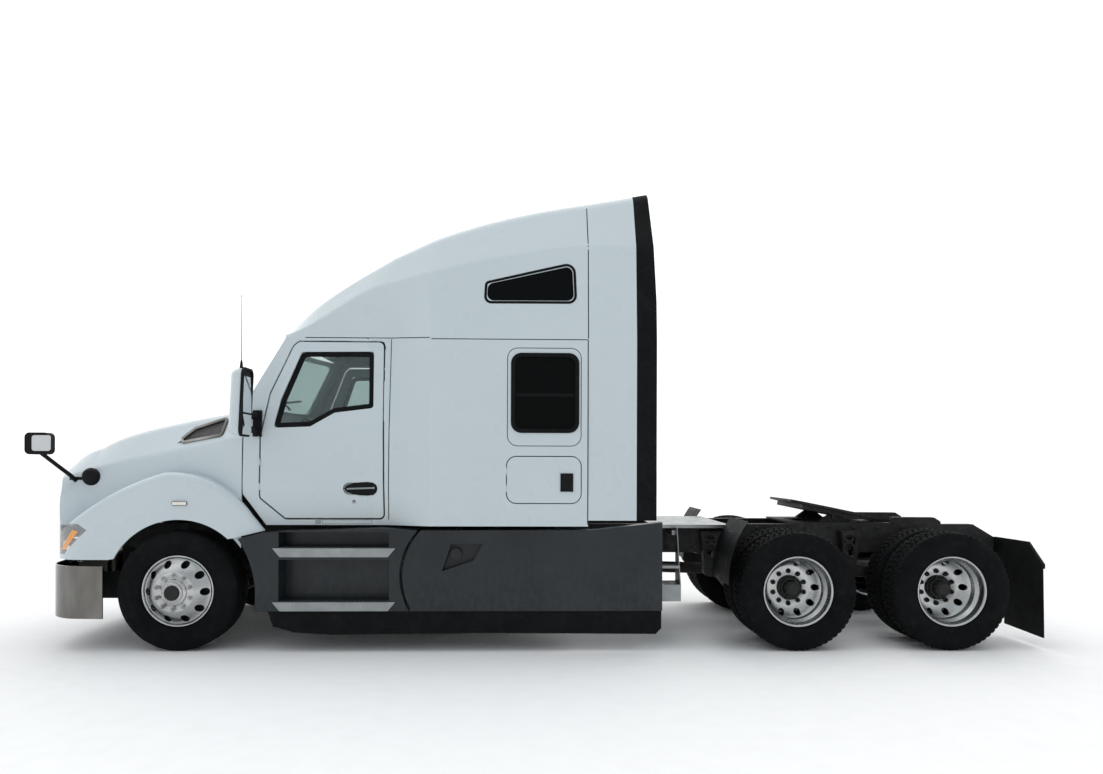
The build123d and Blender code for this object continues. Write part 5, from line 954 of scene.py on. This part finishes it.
# --------------------------------------------------------------------------- mirrors
def mirror_housing(side):
    """Rows of points over an upright shell, open at the back and narrower near both ends."""
    levels, points = 22, 24
    bottom, tall = 1800, 550
    depth, half_width, middle = 126, 104, 1327
    rows = []
    for j in range(levels + 1):
        v = j / levels
        pull = max(0.0, abs(v - 0.5) * 2 - 0.82) / 0.18
        narrowed = 1 - 0.28 * pull ** 2
        lean = (v - 0.5) * 26
        z = bottom + tall * v + 6 * pull * (1 if v < 0.5 else -1)
        row = []
        for i in range(points + 1):
            t = math.pi * i / points
            x = 634 - depth * math.sin(t) ** 0.8 * narrowed + lean
            row.append(at(x, side * (middle + half_width * math.cos(t) * narrowed), z))
        rows.append(row)
    return rows


def mirrors():
    back = Vector((1, 0, 0))
    for name, side in SIDES.items():
        rows = mirror_housing(side)
        shell = Shape()
        shell.grid(rows)
        shell.cap(rows[0])
        shell.cap(rows[-1])
        shell.made(f"mirror_shell_{name}", "chassis", "paint_white")
        rim = Shape()
        edge = [row[0] for row in rows] + [row[-1] for row in reversed(rows)]
        loop = [p + back * 0.004 for p in edge]
        trim(rim, loop, [back] * len(loop), 0.020, 0.006, sink=0.016)
        rim.cap([p - back * 0.001 for p in edge])
        # Two arms and the foot on the cowl.
        for outer_z, inner_z in ((1866, 1856), (1978, 1990)):
            arm = [at(612, side * 1240, outer_z), at(618, side * 1180, outer_z - 2),
                   at(632, side * 1062, inner_z - 8)]
            rim.rod(arm, 0.021, 12, flat=1.4)
        rim.box(at(596, side * 1048, 1806), at(668, side * 1076, 2030), 0.012)
        rim.made(f"mirror_frame_{name}", "chassis", "plastic_black")
        panes = Shape()
        for low, high in ((1992, 2336), (1812, 1976)):
            panes.box(at(639, side * 1238, low), at(643, side * 1418, high), 0.002)
        panes.made(f"mirror_panes_{name}", "chassis", "mirror_glass")
    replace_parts(antenna(), "mirrors")


def antenna():
    """A whip on the left mirror, 0.6 m tall."""
    foot = at(596, -1332, 2346)

    def above(*heights):
        return [foot + Vector((0, 0, h)) for h in heights]

    whip = Shape()
    whip.rod(above(0, 0.012, 0.05, 0.075), [0.016, 0.014, 0.010, 0.005], 12)
    whip.rod(above(0.07, 0.35, 0.596), [0.0032, 0.0024, 0.0016], 8)
    whip.rod(above(0.592, 0.6), 0.004, 8)
    return whip.made("antenna", "chassis", "plastic_black")


# ------------------------------------------------------------ front, steps and rear
def turn_lamp(name, side, lamps):
    amber = Shape()
    flank_patch(amber, lamps, [(-985, 846), (-925, 852), (-806, 1004), (-858, 1022)], side, 0.004, 12, 8)
    amber.made(f"turn_lamp_{name}", "hood", "lens_amber")


def splash_shield(name, side):
    """A plate beside the rail, in front of the steered wheel."""
    shield = Shape()
    shield.box(at(-1008, side * 433, 330), at(-600, side * 446, 800), 0.004)
    shield.made(f"splash_shield_{name}", "chassis", "plastic_black")


def hood_mirror(name, side, hood):
    """The hood mirror's glass, and the foot that holds its arm."""
    pane = Shape()
    rim = [at(x, side * 1186, z) for x, z in rounded(rectangle(-1176, 1676, -1022, 1806), 22)]
    face = [v + Vector((0, side * 0.003, 0)) for v in rim]
    pane.grid([rim, face], close_u=True)
    pane.cap(face)
    pane.made(f"hood_mirror_glass_{name}", "hood", "mirror_glass")
    foot = Shape()
    spot, normal = on_flank(hood, -870, 1456, side)
    foot.lathe(spot, [(-0.02, 0.080), (0.012, 0.078), (0.035, 0.066), (0.052, 0.045), (0.058, 0.0)], 40,
               axis=normal)
    foot.made(f"hood_mirror_foot_{name}", "hood", "plastic_black")


def step_teeth(name, side):
    """Grip teeth along the edges of both steps."""
    first, pitch, wide = 866, 34, 20
    teeth = Shape()
    for top in (422, 872):
        for k in range(27):
            x = first + k * pitch
            teeth.box(at(x, side * 1150, top - 2), at(x + wide, side * 1186, top + 9), 0.003)
    teeth.made(f"step_teeth_{name}", "chassis", "trim_aluminium")


def cast_hangers(name, side):
    """Oval cast rings that lie on the rail and the suspension."""
    carrier = skin("rear_suspension", "frame")
    cast = Shape()
    for x, z, wide, tall in ((4632, 905, 46, 34), (4632, 785, 50, 66), (5930, 905, 46, 34),
                             (5930, 795, 50, 60)):
        oval = [(x + wide * math.cos(t), z + tall * math.sin(t)) for t in turns(24)]
        spots = [on_flank(carrier, *point, side)[0] for point in oval]
        y = min(max(abs(p.y) for p in spots) + 0.004, 0.575)
        loop = [Vector((p.x, side * y, p.z)) for p in spots]
        cast.rod(loop + loop[:2], 0.011, 8)
    cast.made(f"cast_hangers_{name}", "chassis", "axle_iron")


def rail_bolts(name, side):
    bolts = Shape()
    for k in range(12):
        for x, z in ((4180, 990), (4240, 800)):
            bolts.nut(at(x + 230 * k, side * 431, z), Vector((0, side, 0)), 0.013, 0.014)
    bolts.made(f"rail_bolts_{name}", "chassis", "axle_iron")


def wiper(name, side, screen):
    """A blade that lies on the windshield, and its arm from the cowl."""
    blade = []
    for k in range(9):
        y, z = side * (110 + 62 * k), 2170 + 9 * k
        spot, _, _, _ = screen.ray_cast(at(-600, y, z), Vector((1, 0, 0)))
        if spot is not None:
            blade.append(spot - Vector((0.012, 0, -0.004)))
    shape = Shape()
    shape.rod(blade, 0.007, 8, flat=1.6)
    mid = blade[len(blade) // 2]
    foot = Vector((mid.x - 0.045, mid.y + side * 0.28, mid.z - 0.05))
    elbow = mid.lerp(foot, 0.5) - Vector((0.03, 0, -0.02))
    shape.rod([mid - Vector((0.010, 0, 0)), elbow, foot], [0.006, 0.009, 0.013], 8)
    shape.made(f"wiper_{name}", "chassis", "plastic_black")


def flap_hanger(name, side):
    """A plate between the rail's end and the mud flap."""
    hanger = Shape()
    hanger.box(at(7373, side * 430, 600), at(7396, side * 640, 903), 0.004)
    hanger.made(f"flap_hanger_{name}", "chassis", "plastic_black")


def ends():
    lamps = skin("headlamps")
    hood = skin("hood")
    screen = skin("windshield")
    for name, side in SIDES.items():
        turn_lamp(name, side, lamps)
        splash_shield(name, side)
        hood_mirror(name, side, hood)
        step_teeth(name, side)
        cast_hangers(name, side)
        rail_bolts(name, side)
        wiper(name, side, screen)
        flap_hanger(name, side)


# ------------------------------------------------------------------------ soft goods
def cushion(name, middle, along, across, up, size, grooves=(), finish="seat_cloth"):
    """A crowned cushion: two faces that meet in a piped seam, with sides that pull in between corners."""
    length, width, thick = [v / 1000 for v in size]
    steps = 32

    def spot(u, v, way):
        ease = max(0.0, (1 - abs(u) ** 7) * (1 - abs(v) ** 7)) ** 0.38
        crown = 0.78 + 0.22 * (1 - u * u) * (1 - v * v)
        dip = sum(math.exp(-((u - g) / 0.035) ** 2) for g in grooves) * 0.10
        a = u * length / 2 * (1 - 0.035 * (1 - v * v))
        b = v * width / 2 * (1 - 0.035 * (1 - u * u))
        return middle + along * a + across * b + up * way * thick / 2 * ease * (crown - dip)

    ticks = [math.sin(math.pi / 2 * (2 * k / steps - 1)) for k in range(steps + 1)]
    shape = Shape()
    for way in (1, -1):
        shape.grid([[spot(u, v, way) for v in ticks] for u in ticks])
    edge = [spot(u, -1, 1) for u in ticks[:-1]] + [spot(1, v, 1) for v in ticks[:-1]]
    edge += [spot(-u, 1, 1) for u in ticks[:-1]] + [spot(-1, -v, 1) for v in ticks[:-1]]
    made = shape.made(name, "chassis", finish, sharp=70)
    with edited(made.data) as bm:
        weld(bm, 1e-5)
    piping = Shape()
    piping.rod(edge + edge[:2], 0.005, 8)
    piping.made(name + "_piping", "chassis", "rubber_black")
    return made


def seat_base(name, y):
    """A pedestal that narrows at its waist and carries a flat pan."""
    base = Shape()
    rings = []
    for x0, x1, half, z in ((1160, 1620, 230, 1104), (1250, 1540, 150, 1180), (1200, 1570, 220, 1396),
                            (1200, 1570, 220, 1416)):
        rings.append([at(x0, y - half, z), at(x1, y - half, z), at(x1, y + half, z), at(x0, y + half, z)])
    base.grid(rings, close_u=True)
    base.cap(rings[0])
    base.cap(rings[-1])
    base.made(f"seat_base_{name}", "chassis", "cabin_grey", smooth=False)


def soft_goods():
    ahead, over, upward = Vector((1, 0, 0)), Vector((0, 1, 0)), Vector((0, 0, 1))
    lean, front = Vector((0.235, 0, 0.972)), Vector((-0.972, 0, 0.235))
    for name, side in SIDES.items():
        y = side * 580
        seat_base(name, y)
        seat = cushion(f"seat_cushion_{name}", at(1352, y, 1482), ahead, over, upward, (460, 500, 140),
                       (-0.2, 0.3))
        cushion(f"seat_back_{name}", at(1662, y, 1808), lean, over, front, (540, 480, 120),
                (-0.45, 0.0, 0.45))
        cushion(f"seat_headrest_{name}", at(1742, y, 2172), lean, over, front, (170, 290, 80))
        if name == "left":
            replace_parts(seat, "seats")
    channels = (-0.75, -0.5, -0.25, 0.0, 0.25, 0.5, 0.75)
    bed = cushion("bunk_mattress", at(2895, 0, 1766), over, ahead, upward, (2040, 890, 142), channels,
                  "bedding")
    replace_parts(bed, "mattress")


# ---------------------------------------------------------------------------- run it
for node in NODES.values():
    for entry in node.material_slots:
        entry.material = MATERIALS[plain_name(entry.material)]
camera()
floor()
studio()
wheels()
body_trim()
mirrors()
ends()
soft_goods()
